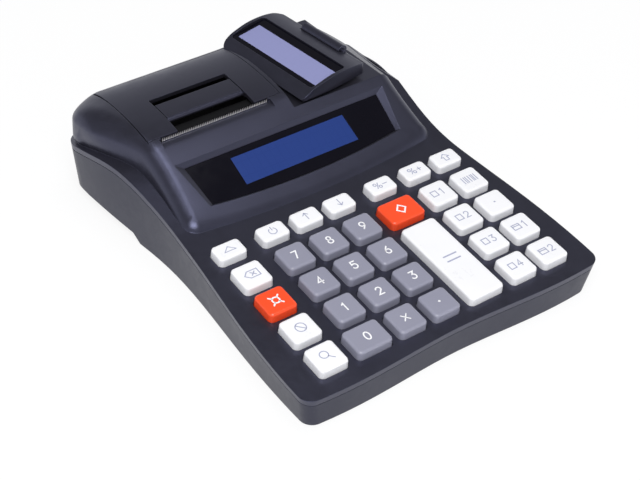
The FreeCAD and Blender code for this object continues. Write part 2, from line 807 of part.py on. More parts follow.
def make_window():
    plate = prism(window_plate_outline(0, -size("window_plate")),
                  Vector(0, 0, size("window_plate")))
    pane = solid("window_plate_solid", to_window(plate))
    middle = "window_height / 2 - 0.3"
    hole = box("window_hole", ("-lcd_width / 2", "lcd_width / 2"),
               (f"{middle} - lcd_height / 2", f"{middle} + lcd_height / 2"),
               ("-window_plate - 1", "1"), "window")
    node("display_window", cut("display_window", pane, hole))
    glass = box("lcd_glass", ("-lcd_width / 2 + 0.1", "lcd_width / 2 - 0.1"),
                (f"{middle} - lcd_height / 2 + 0.1", f"{middle} + lcd_height / 2 - 0.1"),
                ("-window_plate - 1", "-lcd_sunk"), "window")
    frame = box("lcd_frame", ("-lcd_frame_width / 2", "lcd_frame_width / 2"),
                (f"{middle} - lcd_frame_height / 2", f"{middle} + lcd_frame_height / 2"),
                ("-window_plate - lcd_frame_depth", "-window_plate - lcd_sunk"), "window")
    board = box("lcd_board", ("-lcd_board_width / 2", "lcd_board_width / 2"),
                (f"{middle} - lcd_board_height / 2", f"{middle} + lcd_board_height / 2"),
                ("-window_plate - lcd_frame_depth - board_height",
                 "-window_plate - lcd_frame_depth"), "window")
    node("lcd_module", fuse("lcd_module", glass, frame, board))


# Keys: a cap through the deck, held from below by its flange

def vertical_edges(shape):
    return [f"Edge{number}" for number, edge in enumerate(shape.Edges, start=1)
            if edge.BoundBox.ZLength > 1 and edge.BoundBox.XLength + edge.BoundBox.YLength < 0.01]


def top_edges(shape):
    top = shape.BoundBox.ZMax
    return [f"Edge{number}" for number, edge in enumerate(shape.Edges, start=1)
            if edge.BoundBox.ZMin > top - 0.01]


def make_keys():
    drop = "deck_wall + key_gap"
    caps = {}
    for name, x, row, width, depth in KEYS:
        body = doc.addObject("PartDesign::Body", name)
        cap = body.newObject("PartDesign::AdditiveBox", name + "_cap")
        bind(cap, Length=width, Width=depth, Height=f"key_rise + {drop}")
        bind(cap, Placement_Base_x=f"-{width} / 2", Placement_Base_y=f"-{depth} / 2",
             Placement_Base_z=f"-({drop})")
        place(body, x, key_row_at(row), "0", "deck")
        caps[name] = (body, cap, width, depth)
    doc.recompute()
    rounded = {}
    for name, (body, cap, width, depth) in caps.items():
        corners = body.newObject("PartDesign::Fillet", name + "_corners")
        corners.Base = (cap, vertical_edges(cap.Shape))
        bind(corners, Radius="key_corner")
        rounded[name] = corners
    doc.recompute()
    for name, (body, cap, width, depth) in caps.items():
        edge = body.newObject("PartDesign::Chamfer", name + "_edge")
        edge.Base = (rounded[name], top_edges(rounded[name].Shape))
        bind(edge, Size="key_edge")
        flange = body.newObject("PartDesign::AdditiveBox", name + "_flange")
        bind(flange, Length=f"{width} + 2 * key_flange", Width=f"{depth} + 2 * key_flange",
             Height="key_flange_height")
        bind(flange, Placement_Base_x=f"-{width} / 2 - key_flange",
             Placement_Base_y=f"-{depth} / 2 - key_flange",
             Placement_Base_z=f"-({drop}) - key_flange_height")
        node(name, body)


def make_key_board():
    low = key_board_level()
    across = ("-key_board_width / 2", "key_board_width / 2")
    along = ("key_board_at", "key_board_at + key_board_depth")
    node("key_board", box("key_board", across, along, (low, low + " + board_height"), "deck"))
    node("keypad_mat", box("keypad_mat", ("-key_board_width / 2 + 1", "key_board_width / 2 - 1"),
                           ("key_board_at + 1", "key_board_at + key_board_depth - 1"),
                           (low + " + board_height", low + " + board_height + mat_height"),
                           "deck"))


# Printer lid with its lever

def make_lid():
    skin = cut("lid_skin", dome_solid, solid("lid_space", dome_block(-wall, 14.0)))
    reach = box("lid_reach", ("lid_left + lid_gap", "lid_right - lid_gap"),
                ("lid_front", "lid_axis_at + 0.01"), ("chassis_foot", "70"))
    axis = ("lid_axis_at", "lid_axis_height")
    barrel = common("lid_barrel_round",
                    rod("lid_barrel_rod", "lid_barrel", "lid_left + lid_gap",
                        "lid_right - lid_gap", axis), dome_solid)
    roller = ("roller_at", "roller_level")
    ears = []
    for number, start in enumerate(["lid_left + lid_gap + 0.5", "lid_right - lid_gap - 0.65 - cheek"]):
        end = f"{start} + cheek"
        ears.append(box(f"roller_ear_{number}", (start, end), ("roller_at - 4.5", "roller_at + 4.5"),
                        ("roller_level", "60")))
        ears.append(rod(f"roller_ear_round_{number}", "4.5", start, end, roller))
    for number, (start, end) in enumerate([("notch_left - 2", "notch_left"),
                                           ("notch_right", "notch_right + 2")]):
        ears.append(box(f"lever_ear_{number}", (start, end),
                        ("lever_axis_at - 2.2", "lever_axis_at + 2.6"),
                        ("lever_axis_height - 1.5", "60")))
    inside = common("lid_ears", fuse("lid_ear_blocks", *ears), dome_solid)
    whole = fuse("lid_whole", common("lid_plate", skin, reach), barrel, inside)
    cuts = [
        box("lid_notch", ("notch_left", "notch_right"), ("lid_front - 1", "notch_rear"),
            ("chassis_foot", "70")),
        rod("lid_pin_bore", "lid_pin + running", "lid_left", "lid_right", axis),
        rod("journal_bore", "journal_radius + running", "lid_left", "lid_right", roller),
        rod("lever_pin_bore", "lever_pin + running", "notch_left - 1.9", "notch_right + 1.9",
            ("lever_axis_at", "lever_axis_height")),
    ]
    node("printer_lid", cut("printer_lid", whole, *cuts))
    node("lid_hinge_pin", rod("lid_hinge_pin", "lid_pin", "lid_left - 2", "nest_left - 0.9", axis))


def make_lever():
    ends = ("notch_left + 0.5", "notch_right - 0.5")
    middle = ("lever_axis_at", "lever_axis_height")
    top = solid("lever_top", dome_block(-0.1, 14.0))
    slab = box("lever_slab", ends, ("lever_axis_at", "lever_rear"),
               ("lever_axis_height - 1.2", "60"))
    plate = common("lever_plate", slab, top)
    under = box("lever_under", ("notch_left", "notch_right"),
                ("lever_axis_at + 2", "lever_rear + 1"),
                ("lever_axis_height - 5", "crown_height - 0.2 - lever_thickness"))
    barrel = rod("lever_barrel_rod", "lever_barrel", ends[0], ends[1], middle)
    pins = rod("lever_pins", "lever_pin", "notch_left - 1.7", "notch_right + 1.7", middle)
    node("lid_lever", fuse("lid_lever", cut("lever_body", plate, under), barrel, pins))


# Gears: straight flanks with running play, a tooth or a gap on the line to the mating gear

def gear_wire(teeth, phase):
    module = size("gear_module")
    pitch = module * teeth / 2
    root = pitch - 1.2 * module
    tip = pitch + 0.85 * module
    step = 2 * math.pi / teeth
    points = []
    for tooth in range(int(teeth)):
        for share, radius in ((-0.30, root), (-0.12, tip), (0.12, tip), (0.30, root)):
            angle = phase + (tooth + share) * step
            points.append(Vector(0, radius * math.cos(angle), radius * math.sin(angle)))
    return lines(points)


def gear(teeth, phase, centre):
    left = size("gear_left")
    blank = prism(gear_wire(teeth, phase), Vector(size("gear_width"), 0, 0))
    blank.translate(Vector(left, centre[0], centre[1]))
    return blank


def round_bar(radius, start, end, centre):
    return Part.makeCylinder(radius, end - start, Vector(start, centre[0], centre[1]),
                             Vector(1, 0, 0))


def below(centre, distance, offset):
    """The centre at this distance under another, offset along Y."""
    return (centre[0] + offset, centre[1] - math.sqrt(distance ** 2 - offset ** 2))


def direction(start, end):
    return math.atan2(end[1] - start[1], end[0] - start[0])


platen_centre = (size("roller_at"), size("roller_level"))
mesh = size("gear_module") / 2
drive_centre = below(platen_centre, mesh * (size("platen_teeth") + size("drive_teeth")),
                     size("drive_back"))
pinion_centre = below(drive_centre, mesh * (size("drive_teeth") + size("pinion_teeth")),
                      size("pinion_back"))


def make_gear_train():
    to_drive = direction(platen_centre, drive_centre)
    drive_step = 2 * math.pi / size("drive_teeth")
    pinion_step = 2 * math.pi / size("pinion_teeth")
    drive_phase = to_drive + math.pi + drive_step / 2
    to_pinion = direction(drive_centre, pinion_centre)
    along = (to_pinion - drive_phase) / drive_step
    pinion_phase = to_pinion + math.pi + (along % 1 + 0.5) * pinion_step
    left = size("gear_left")
    right = left + size("gear_width")
    inside = size("shaft_radius")
    journal = size("journal_radius")
    roller_left = size("roller_left")
    shaft = round_bar(inside, roller_left - 0.5, right + 0.3, platen_centre)
    ends = round_bar(journal, size("lid_left") + 1.2, size("lid_right") - 1.2, platen_centre)
    platen_gear = gear(size("platen_teeth"), to_drive, platen_centre)
    node("platen_gear", solid("platen_gear", platen_gear.fuse([shaft, ends]).removeSplitter()))
    roller = cut("platen_roller",
                 rod("roller_sleeve", "roller_radius", "roller_left", "roller_right",
                     ("roller_at", "roller_level")),
                 rod("roller_bore", "shaft_radius", "roller_left - 1", "roller_right + 1",
                     ("roller_at", "roller_level")))
    node("platen_roller", roller)
    axle = size("axle_radius") + size("running")
    drive = gear(size("drive_teeth"), drive_phase, drive_centre)
    drive = drive.cut(round_bar(axle, left - 1, right + 1, drive_centre))
    node("drive_gear", solid("drive_gear", drive))
    pinion = gear(size("pinion_teeth"), pinion_phase, pinion_centre)
    stem = round_bar(1.0, -size("chassis_wall") - 4, right, pinion_centre)
    node("motor_pinion", solid("motor_pinion", pinion.fuse(stem).removeSplitter()))
    start = -size("chassis_wall") - 0.4 - size("motor_length")
    motor = round_bar(size("motor_radius"), start, start + size("motor_length"), pinion_centre)
    well = round_bar(1.0 + size("running"), start + size("motor_length") - 4, 0, pinion_centre)
    node("stepper_motor", solid("stepper_motor", motor.cut(well)))


# Printer chassis: front wall for the head and the tear bar, gear walls, paper bin

def make_chassis():
    left = "chassis_left"
    right = "chassis_right"
    low = "chassis_foot"
    inner_right = "gear_left + 0.6"
    bin_rear = "chassis_rear - chassis_wall - 1"
    plates = [
        box("chassis_floor", (left, right), ("chassis_front", "chassis_rear"),
            (low, f"{low} + 2")),
        box("chassis_front_wall", (left, right), ("chassis_front", "chassis_front + 2"),
            (low, "chassis_top")),
        box("chassis_left_wall", (left, f"{left} + chassis_wall"),
            ("chassis_front", "chassis_rear"), (low, "bin_top")),
        box("chassis_left_cheek", (left, f"{left} + chassis_wall"),
            ("chassis_front", "roller_at + 8"), (low, "roller_level + 2")),
        box("chassis_right_cheek", (f"{right} - chassis_wall", right),
            ("chassis_front", "bin_front"), (low, "roller_level + 2")),
        box("motor_plate", ("-chassis_wall - 0.4", "-0.4"), ("chassis_front", "bin_front"),
            (low, "roller_level - roller_radius - 1.5")),
        box("bin_front_wall", (left, inner_right), ("bin_front - chassis_wall", "bin_front"),
            (low, "roller_level - 14")),
        box("bin_right_wall", ("-0.4", inner_right), ("bin_front - chassis_wall", "chassis_rear"),
            (low, "bin_top")),
        box("bin_rear_wall", (left, inner_right), (bin_rear, "chassis_rear"), (low, "bin_top - 3")),
        box("head_ledge", (left, "roller_right + 0.3"), ("chassis_front", "roller_at - 5.2"),
            ("head_foot - 2", "head_foot")),
    ]
    pin = solid("drive_axle", round_bar(size("axle_radius"), -1.0, size("chassis_right"),
                                        drive_centre))
    open_ends = []
    for number, x in enumerate([left, f"{right} - chassis_wall"]):
        open_ends.append(box(f"journal_slot_{number}", (f"{x} - 1", f"{x} + chassis_wall + 1"),
                             ("roller_at - journal_radius - 0.6",
                              "roller_at + journal_radius + 0.6"),
                             ("roller_level - journal_radius - 0.6", "60")))
    pinion_hole = solid("pinion_way", round_bar(2.0, -4.0, 0.2, pinion_centre))
    body = fuse("chassis_body", *plates)
    opened = cut("chassis_open", body, pinion_hole, *open_ends)
    node("printer_chassis", fuse("printer_chassis", opened, pin))


def make_head_and_tear_bar():
    front = size("chassis_front") + 2
    low = size("tear_foot")
    valley = size("tear_top") - size("tear_tooth")
    count = int(size("tear_teeth"))
    pitch = (size("tear_right") - size("tear_left")) / count
    points = [Vector(size("tear_right"), front, low), Vector(size("tear_left"), front, low)]
    for tooth in range(count):
        start = size("tear_left") + tooth * pitch
        points.append(Vector(start, front, valley))
        points.append(Vector(start + pitch / 2, front, size("tear_top")))
    points.append(Vector(size("tear_right"), front, valley))
    blade = prism(lines(points), Vector(0, size("tear_thickness"), 0))
    node("tear_bar", solid("tear_bar", blade))
    face = "roller_at - roller_radius - key_gap"
    node("print_head", box("print_head", ("chassis_left + 2", "roller_right - 1"),
                           (f"{face} - head_thickness", face), ("head_foot", "head_top")))


# Customer display. Its own frame: u across, v along, both turned by client_turn about Z.

def swivel_place():
    """The swivel's axis in the case, as formulas for X and Y."""
    across = "client_x + hinge_u * cos(client_turn) - hinge_v * sin(client_turn)"
    along = "client_y + hinge_u * sin(client_turn) + hinge_v * cos(client_turn)"
    return across, along


def to_client(shape):
    shape.rotate(Vector(), Vector(0, 0, 1), size("client_turn"))
    shape.translate(Vector(size("client_x"), size("client_y"), size("client_level")))
    return shape


CLIENT_FACET = [(-15.3, 4.9), (7.5, 6.9)]
CLIENT_CROWN = [(-18.6, 3.1), (-15.3, 4.95), (-9.9, 6.4), (-3.8, 7.5), (2.3, 7.9), (8.4, 7.7),
                (14.6, 6.8), (18.2, 5.9)]


def client_section():
    """The section across the display: a thin left edge, a crown, and a thick right edge."""
    left = -size("client_left")
    right = size("client_half")

    def at(u, w):
        return Vector(u, -60, w)

    crown = [at(left, 0.8)] + [at(u, w) for u, w in CLIENT_CROWN]
    last = crown[-1]
    edges = [spline(crown),
             Part.Arc(last, at(right - 0.6, 5.0), at(right, 3.6)).toShape(),
             Part.makeLine(at(right, 3.6), at(right, 1.6)),
             Part.makeLine(at(right, 1.6), at(right - 1.6, 0)),
             Part.makeLine(at(right - 1.6, 0), at(left + 0.8, 0)),
             Part.makeLine(at(left + 0.8, 0), at(left, 0.8))]
    return Part.Face(Part.Wire(edges)).extrude(Vector(0, 120, 0))


def client_plan():
    left = -size("client_left")
    right = size("client_half")
    front = -size("client_front")
    rear = size("client_rear")
    bow = size("client_end_bow")

    def at(u, v):
        return Vector(u, v, -5)

    edges = [Part.Arc(at(left, front), at(0, front - bow), at(right, front)).toShape(),
             Part.makeLine(at(right, front), at(right, rear)),
             Part.Arc(at(right, rear), at(0, rear + bow), at(left, rear)).toShape(),
             Part.makeLine(at(left, rear), at(left, front))]
    block = Part.Face(Part.Wire(edges)).extrude(Vector(0, 0, 20))
    for radius, u, v in ((3.0, left, front), (3.0, right, front), (5.0, left, rear),
                         (8.0, right, rear)):
        corner = [edge for edge in block.Edges if edge.BoundBox.ZLength > 15
                  and math.hypot(edge.CenterOfMass.x - u, edge.CenterOfMass.y - v) < 0.1]
        block = block.makeFillet(radius, corner)
    return block


def client_room():
    """Room along the display's left edge, where the housing beside the lid is cut down."""
    start = Vector(-size("client_left") - size("clearance") - 0.1, 0, -0.3)
    return to_client(Part.makeBox(10, 60, 20, start))


def on_facet(length, width, low, high, corner, along, across=0.0):
    """A rounded plate on the window's plane, between two depths below its surface."""
    (u0, w0), (u1, w1) = CLIENT_FACET
    plate = rounded_block(width, length, low, high, corner)
    run = math.hypot(u1 - u0, w1 - w0)
    plate.translate(Vector(run / 2 + across, along, 0))
    plate.rotate(Vector(), Vector(0, 1, 0), -math.degrees(math.atan2(w1 - w0, u1 - u0)))
    plate.translate(Vector(u0, 0, w0))
    return plate


def make_client_display():
    u, v, w = size("hinge_u"), size("hinge_v"), size("hinge_level")
    reach = size("hinge_length") / 2
    gap = 0.6
    thick = size("client_glass")
    long, wide = size("client_glass_length"), size("client_glass_width")
    lcd_long, lcd_wide = size("client_lcd_length"), size("client_lcd_width")
    lcd_at = (size("client_lcd_along"), size("client_lcd_across"))
    pane_at = size("client_glass_along")

    def bar(radius, start, end):
        return Part.makeCylinder(radius, end - start, Vector(u, start, w), Vector(0, 1, 0))

    shell = client_section().common(client_plan())
    seat = on_facet(long + 0.2, wide + 0.2, -thick, 5, 2.1, pane_at)
    well = on_facet(lcd_long + 2, lcd_wide + 3, -3.4, 0, 0.5, *lcd_at)
    notch = Part.makeBox(10, 2 * reach + 2 * gap, 20, Vector(u - 3.4, v - reach - gap, -5))
    pins = [bar(size("hinge_pin"), v - reach - gap - 1, v - reach + 2.5),
            bar(size("hinge_pin"), v + reach - 2.5, v + reach + gap + 1)]
    case = shell.cut([seat, well, notch]).fuse(pins)
    node("customer_display_case", solid("customer_display_case", to_client(case)))
    pane = on_facet(long, wide, -thick, 0, 2.0, pane_at)
    opening = on_facet(lcd_long, lcd_wide, -5, 5, 0.3, *lcd_at)
    node("customer_display_window",
         solid("customer_display_window", to_client(pane.cut(opening))))
    glass = on_facet(lcd_long - 0.2, lcd_wide - 0.2, -3.2, -size("lcd_sunk"), 0.3, *lcd_at)
    backing = on_facet(lcd_long + 1.6, lcd_wide + 2, -3.2, -thick - 0.05, 0.4, *lcd_at)
    node("customer_lcd", solid("customer_lcd", to_client(glass.fuse(backing).removeSplitter())))
    barrel = bar(size("hinge_barrel"), v - reach, v + reach)
    neck = Part.makeBox(4, 12, w + 0.6, Vector(u - 2, v - 6, -0.6))
    disc_low = size("nest_floor") + 0.15 - size("client_level")
    disc = Part.makeCylinder(size("swivel_disc"), -0.6 - disc_low, Vector(u, v, disc_low))
    stem = Part.makeCylinder(size("swivel_pin"), 5, Vector(u, v, disc_low - 4.5))
    bores = [bar(size("hinge_pin") + size("running"), v - reach - 1, v - reach + 3),
             bar(size("hinge_pin") + size("running"), v + reach - 3, v + reach + 1)]
    knuckle = barrel.fuse([neck, disc, stem]).cut(bores)
    node("display_swivel_hinge", solid("display_swivel_hinge", to_client(knuckle)))


# Base fittings: battery and its door, boards, sockets, screws and feet

def make_fittings():
    node("battery_pack",
         box("battery_pack", ("-battery_width / 2", "battery_width / 2"),
             ("battery_at", "battery_at + battery_depth"),
             ("foot_height + floor / 2 + 0.2", "foot_height + floor / 2 + 0.2 + battery_height")))
    margin = "battery_door_margin - key_gap"
    node("battery_cover",
         box("battery_cover", (f"-battery_width / 2 - ({margin})", f"battery_width / 2 + ({margin})"),
             (f"battery_at - ({margin})", f"battery_at + battery_depth + ({margin})"),
             ("foot_height", "foot_height + floor / 2")))
    top = "main_board_level + board_height"
    node("main_board",
         box("main_board", ("main_board_left", "main_board_left + main_board_width"),
             ("main_board_at", "main_board_at + main_board_depth"),
             ("main_board_level", top)))
    rear = ("body_depth - 1.4 - socket_depth", "body_depth - 1.4")
    blocks = [box("jack_block", ("jack_at", "jack_at + jack_width"), rear,
                  (top, f"{top} + socket_height"))]
    wells = [place_along_y(rod_y("jack_bore", "3.0", "10"), "jack_at + jack_width / 2",
                           "body_depth - 1.4 - 9", f"{top} + socket_height / 2")]
    for number in range(2):
        start = f"data_at + {number} * data_step"
        blocks.append(box(f"data_block_{number}", (start, f"{start} + data_width"), rear,
                          (top, f"{top} + socket_height")))
        wells.append(box(f"data_well_{number}", (f"{start} + 2", f"{start} + data_width - 2"),
                         ("body_depth - 1.4 - 10", "body_depth"),
                         (f"{top} + 1.5", f"{top} + socket_height - 1.5")))
    node("rear_sockets", cut("rear_sockets", fuse("socket_blocks", *blocks), *wells))
    screws = []
    for number, (x, y, split) in enumerate(screw_places()):
        screws.append(rod(f"screw_shank_{number}", "screw_radius", "foot_height + 1",
                          split + " + 6", (x, y), "z"))
        screws.append(rod(f"screw_cap_{number}", "screw_head", "foot_height + 1",
                          "foot_height + 3.2", (x, y), "z"))
    node("case_screws", fuse("case_screws", *screws))
    feet = [rod(f"foot_{number}", "foot_radius", "0", "foot_height + 1", (x, y), "z")
            for number, (x, y) in enumerate(foot_places())]
    node("rubber_feet", fuse("rubber_feet", *feet))


def rod_y(name, radius, length):
    item = doc.addObject("Part::Cylinder", name)
    bind(item, Radius=radius, Height=length)
    item.Placement = Placement(Vector(), Rotation(Vector(1, 0, 0), -90))
    return item


def place_along_y(item, x, y, z):
    return place(item, x, y, z)


make_base_shell()
make_top_housing()
make_window()
make_keys()
make_key_board()
make_lid()
make_lever()
make_gear_train()
make_chassis()
make_head_and_tear_bar()
make_client_display()
make_fittings()
doc.recompute()

# Every object has to be whole before anything is written.
broken = [item.Label for item in doc.Objects if {"Invalid", "Error"} & set(item.State)]
if broken:
    raise RuntimeError("failed to compute: " + ", ".join(broken))
for name, item in nodes.items():
    if item.Shape.isNull() or not item.Shape.isValid() or not item.Shape.Solids:
        raise RuntimeError(f"{name} has no valid solid")

os.makedirs("parts", exist_ok=True)
for name, item in nodes.items():
    item.Shape.exportStep(f"parts/{name}.step")
print(len(nodes), "nodes")
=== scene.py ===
"""Portable ticket register: its finishes, its rounded keys with their legends, and the studio.

Metres. X to the operator's right, Y away from the operator, Z up.
"""
import bpy
import bmesh
import math
from mathutils import Matrix, Vector


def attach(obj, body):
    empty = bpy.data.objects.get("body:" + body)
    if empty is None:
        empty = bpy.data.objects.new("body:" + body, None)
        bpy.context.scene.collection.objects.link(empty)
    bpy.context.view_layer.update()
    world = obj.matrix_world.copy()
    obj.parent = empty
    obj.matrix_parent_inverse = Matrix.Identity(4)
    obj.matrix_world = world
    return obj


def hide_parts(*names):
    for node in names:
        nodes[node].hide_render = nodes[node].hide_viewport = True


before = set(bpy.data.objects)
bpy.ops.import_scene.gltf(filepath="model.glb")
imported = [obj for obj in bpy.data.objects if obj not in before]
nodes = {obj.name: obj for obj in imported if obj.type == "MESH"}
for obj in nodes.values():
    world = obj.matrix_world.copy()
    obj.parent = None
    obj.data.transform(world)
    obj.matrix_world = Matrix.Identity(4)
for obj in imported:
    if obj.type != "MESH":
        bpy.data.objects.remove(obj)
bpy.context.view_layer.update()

# Deck and keys, as the case has them
MM = 0.001
HALF_DEPTH = 107.0
DECK_FRONT = 18.5
DECK_TILT = math.radians(4.5)
KEY = 15.1
SMALL_KEY = 10.45
WIDE_KEY = 19.8
ZERO_KEY = 19.0
TALL_KEY = 53.1
CORNER = 2.4
RISE = 4.2
FLANGE = 0.8
ROW = {1: 16.5, 2: 35.5, 3: 54.5, 4: 73.5, 5: 92.1}
COLUMN = {"a": -62.7, "b": -39.0, "c": -20.0, "d": -1.0, "e": 21.65, "e_small": 23.5,
          "f": 44.4, "g": 63.4}


# Shared effects, each a node group that materials place with their own values

def add(tree, kind, inputs=None, **settings):
    """A node in a tree, with its settings and what feeds its sockets."""
    made = tree.nodes.new(kind)
    for name, value in settings.items():
        setattr(made, name, value)
    for key, value in (inputs or {}).items():
        if isinstance(value, bpy.types.NodeSocket):
            tree.links.new(value, made.inputs[key])
        else:
            made.inputs[key].default_value = value
    return made


def effect_group(name, inputs, outputs):
    group = bpy.data.node_groups.new(name, "ShaderNodeTree")
    for label, kind, value in inputs:
        socket = group.interface.new_socket(label, in_out="INPUT", socket_type=kind)
        if value is not None:
            socket.default_value = value
    for label, kind in outputs:
        group.interface.new_socket(label, in_out="OUTPUT", socket_type=kind)
    start = group.nodes.new("NodeGroupInput")
    end = group.nodes.new("NodeGroupOutput")
    return group, start.outputs, end.inputs


def moulded_grain():
    """The fine spark-eroded grain of a moulding: a height and a light speckle."""
    group, given, result = effect_group(
        "moulded_grain",
        [("Place", "NodeSocketVector", None), ("Grain", "NodeSocketFloat", 2600.0)],
        [("Height", "NodeSocketFloat"), ("Speckle", "NodeSocketFloat")])
    fine = add(group, "ShaderNodeTexNoise", {"Vector": given["Place"], "Scale": given["Grain"],
                                             "Detail": 2.0, "Roughness": 0.6})
    group.links.new(fine.outputs["Fac"], result["Height"])
    spots = add(group, "ShaderNodeMapRange", {"Value": fine.outputs["Fac"], "From Min": 0.35,
                                              "From Max": 0.65})
    group.links.new(spots.outputs["Result"], result["Speckle"])
    return group


def handled():
    """Slow uneven shine and tone, as on a case that hands have been on."""
    group, given, result = effect_group(
        "handled",
        [("Place", "NodeSocketVector", None), ("Spread", "NodeSocketFloat", 22.0)],
        [("Smudge", "NodeSocketFloat"), ("Cloud", "NodeSocketFloat")])
    cloud = add(group, "ShaderNodeTexNoise", {"Vector": given["Place"], "Scale": given["Spread"],
                                              "Detail": 4.0, "Roughness": 0.55,
                                              "Distortion": 0.4})
    group.links.new(cloud.outputs["Fac"], result["Cloud"])
    closer = add(group, "ShaderNodeMath", {0: given["Spread"], 1: 5.0}, operation="MULTIPLY")
    streak = add(group, "ShaderNodeTexNoise", {"Vector": given["Place"],
                                               "Scale": closer.outputs[0], "Detail": 6.0,
                                               "Roughness": 0.7, "Distortion": 1.5})
    both = add(group, "ShaderNodeMath", {0: cloud.outputs["Fac"], 1: streak.outputs["Fac"]},
               operation="MULTIPLY")
    smear = add(group, "ShaderNodeMapRange", {"Value": both.outputs[0], "From Min": 0.18,
                                              "From Max": 0.36})
    group.links.new(smear.outputs["Result"], result["Smudge"])
    return group


def worn_and_highlit_edges():
    """Where a small round turns the surface: the rounded edges, which the finishes paint lighter, partly as
    wear and partly as a painted highlight.
    """
    group, given, result = effect_group(
        "worn_and_highlit_edges",
        [("Radius", "NodeSocketFloat", 0.0005), ("Gain", "NodeSocketFloat", 6.0)],
        [("Edge", "NodeSocketFloat"), ("Normal", "NodeSocketVector")])
    round_off = add(group, "ShaderNodeBevel", {"Radius": given["Radius"]}, samples=4)
    flat = add(group, "ShaderNodeNewGeometry")
    along = add(group, "ShaderNodeVectorMath",
                {0: round_off.outputs["Normal"], 1: flat.outputs["Normal"]},
                operation="DOT_PRODUCT")
    turned = add(group, "ShaderNodeMath", {0: 1.0, 1: along.outputs["Value"]},
                 operation="SUBTRACT")
    worn = add(group, "ShaderNodeMath", {0: turned.outputs[0], 1: given["Gain"]},
               operation="MULTIPLY", use_clamp=True)
    group.links.new(worn.outputs[0], result["Edge"])
    group.links.new(round_off.outputs["Normal"], result["Normal"])
    return group


def settled_dust():
    """A thin dust that lies on what faces up, in soft patches."""
    group, given, result = effect_group(
        "settled_dust",
        [("Place", "NodeSocketVector", None), ("Amount", "NodeSocketFloat", 0.1)],
        [("Dust", "NodeSocketFloat")])
    facing = add(group, "ShaderNodeNewGeometry")
    parts = add(group, "ShaderNodeSeparateXYZ", {0: facing.outputs["Normal"]})
    level = add(group, "ShaderNodeMapRange", {"Value": parts.outputs["Z"], "From Min": 0.5,
                                              "From Max": 1.0})
    patches = add(group, "ShaderNodeTexNoise", {"Vector": given["Place"], "Scale": 160.0,
                                                "Detail": 5.0, "Roughness": 0.65})
    lying = add(group, "ShaderNodeMath", {0: level.outputs["Result"],
                                          1: patches.outputs["Fac"]}, operation="MULTIPLY")
    amount = add(group, "ShaderNodeMath", {0: lying.outputs[0], 1: given["Amount"]},
                 operation="MULTIPLY", use_clamp=True)
    group.links.new(amount.outputs[0], result["Dust"])
    return group


GRAIN = moulded_grain()
HANDLED = handled()
EDGE_WEAR_AND_HIGHLIGHT = worn_and_highlit_edges()
DUST = settled_dust()


# Finishes

EDGE_GAIN = 5.0
DUST_TONE = (0.42, 0.41, 0.40)
SECOND_TONE = 0.92


def placed(tree, group, inputs=None):
    """A shared effect, placed in a material with that material's own values."""
    return add(tree, "ShaderNodeGroup", inputs, node_tree=group)


def blended(tree, share, first, second):
    mixed = add(tree, "ShaderNodeMix", {0: share, 6: first, 7: second}, data_type="RGBA")
    return mixed.outputs[2]


def colour(red, green, blue):
    return (red, green, blue, 1.0)


def new_finish(name):
    material = bpy.data.materials.new(name)
    material.use_nodes = True
    tree = material.node_tree
    surface = tree.nodes["Principled BSDF"]
    place = tree.nodes.new("ShaderNodeTexCoord").outputs["Object"]
    return material, tree, surface, place


def moulded(name, base, worn, rough, shine, grain=2600.0, depth=0.00001, edge=0.0004,
            wear=0.25, dust=0.0, tint=(1.0, 1.0, 1.0), level=0.5, spread=22.0):
    """Moulded plastic: two close tones, grain, uneven shine, edges painted lighter as wear and as a painted
    highlight, and a little dust.
    """
    material, tree, surface, place = new_finish(name)
    texture = placed(tree, GRAIN, {"Place": place, "Grain": grain})
    use = placed(tree, HANDLED, {"Place": place, "Spread": spread})
    edges = placed(tree, EDGE_WEAR_AND_HIGHLIGHT, {"Radius": edge, "Gain": EDGE_GAIN})
    darker = tuple(part * SECOND_TONE for part in base)
    tone = blended(tree, use.outputs["Cloud"], colour(*base), colour(*darker))
    # The lighter edge tone is partly wear and partly a painted highlight along the rounded edges.
    share = add(tree, "ShaderNodeMath", {0: edges.outputs["Edge"], 1: wear},
                operation="MULTIPLY")
    tone = blended(tree, share.outputs[0], tone, colour(*worn))
    lying = placed(tree, DUST, {"Place": place, "Amount": dust})
    tone = blended(tree, lying.outputs["Dust"], tone, colour(*DUST_TONE))
    tree.links.new(tone, surface.inputs["Base Color"])
    gloss = add(tree, "ShaderNodeMapRange", {"Value": use.outputs["Smudge"], "From Min": 0.0,
                                             "From Max": 1.0, "To Min": rough,
                                             "To Max": rough - shine})
    tree.links.new(gloss.outputs["Result"], surface.inputs["Roughness"])
    bump = add(tree, "ShaderNodeBump", {"Strength": 0.35, "Distance": depth,
                                        "Height": texture.outputs["Height"],
                                        "Normal": edges.outputs["Normal"]})
    tree.links.new(bump.outputs["Normal"], surface.inputs["Normal"])
    surface.inputs["Specular Tint"].default_value = colour(*tint)
    surface.inputs["Specular IOR Level"].default_value = level
    return material


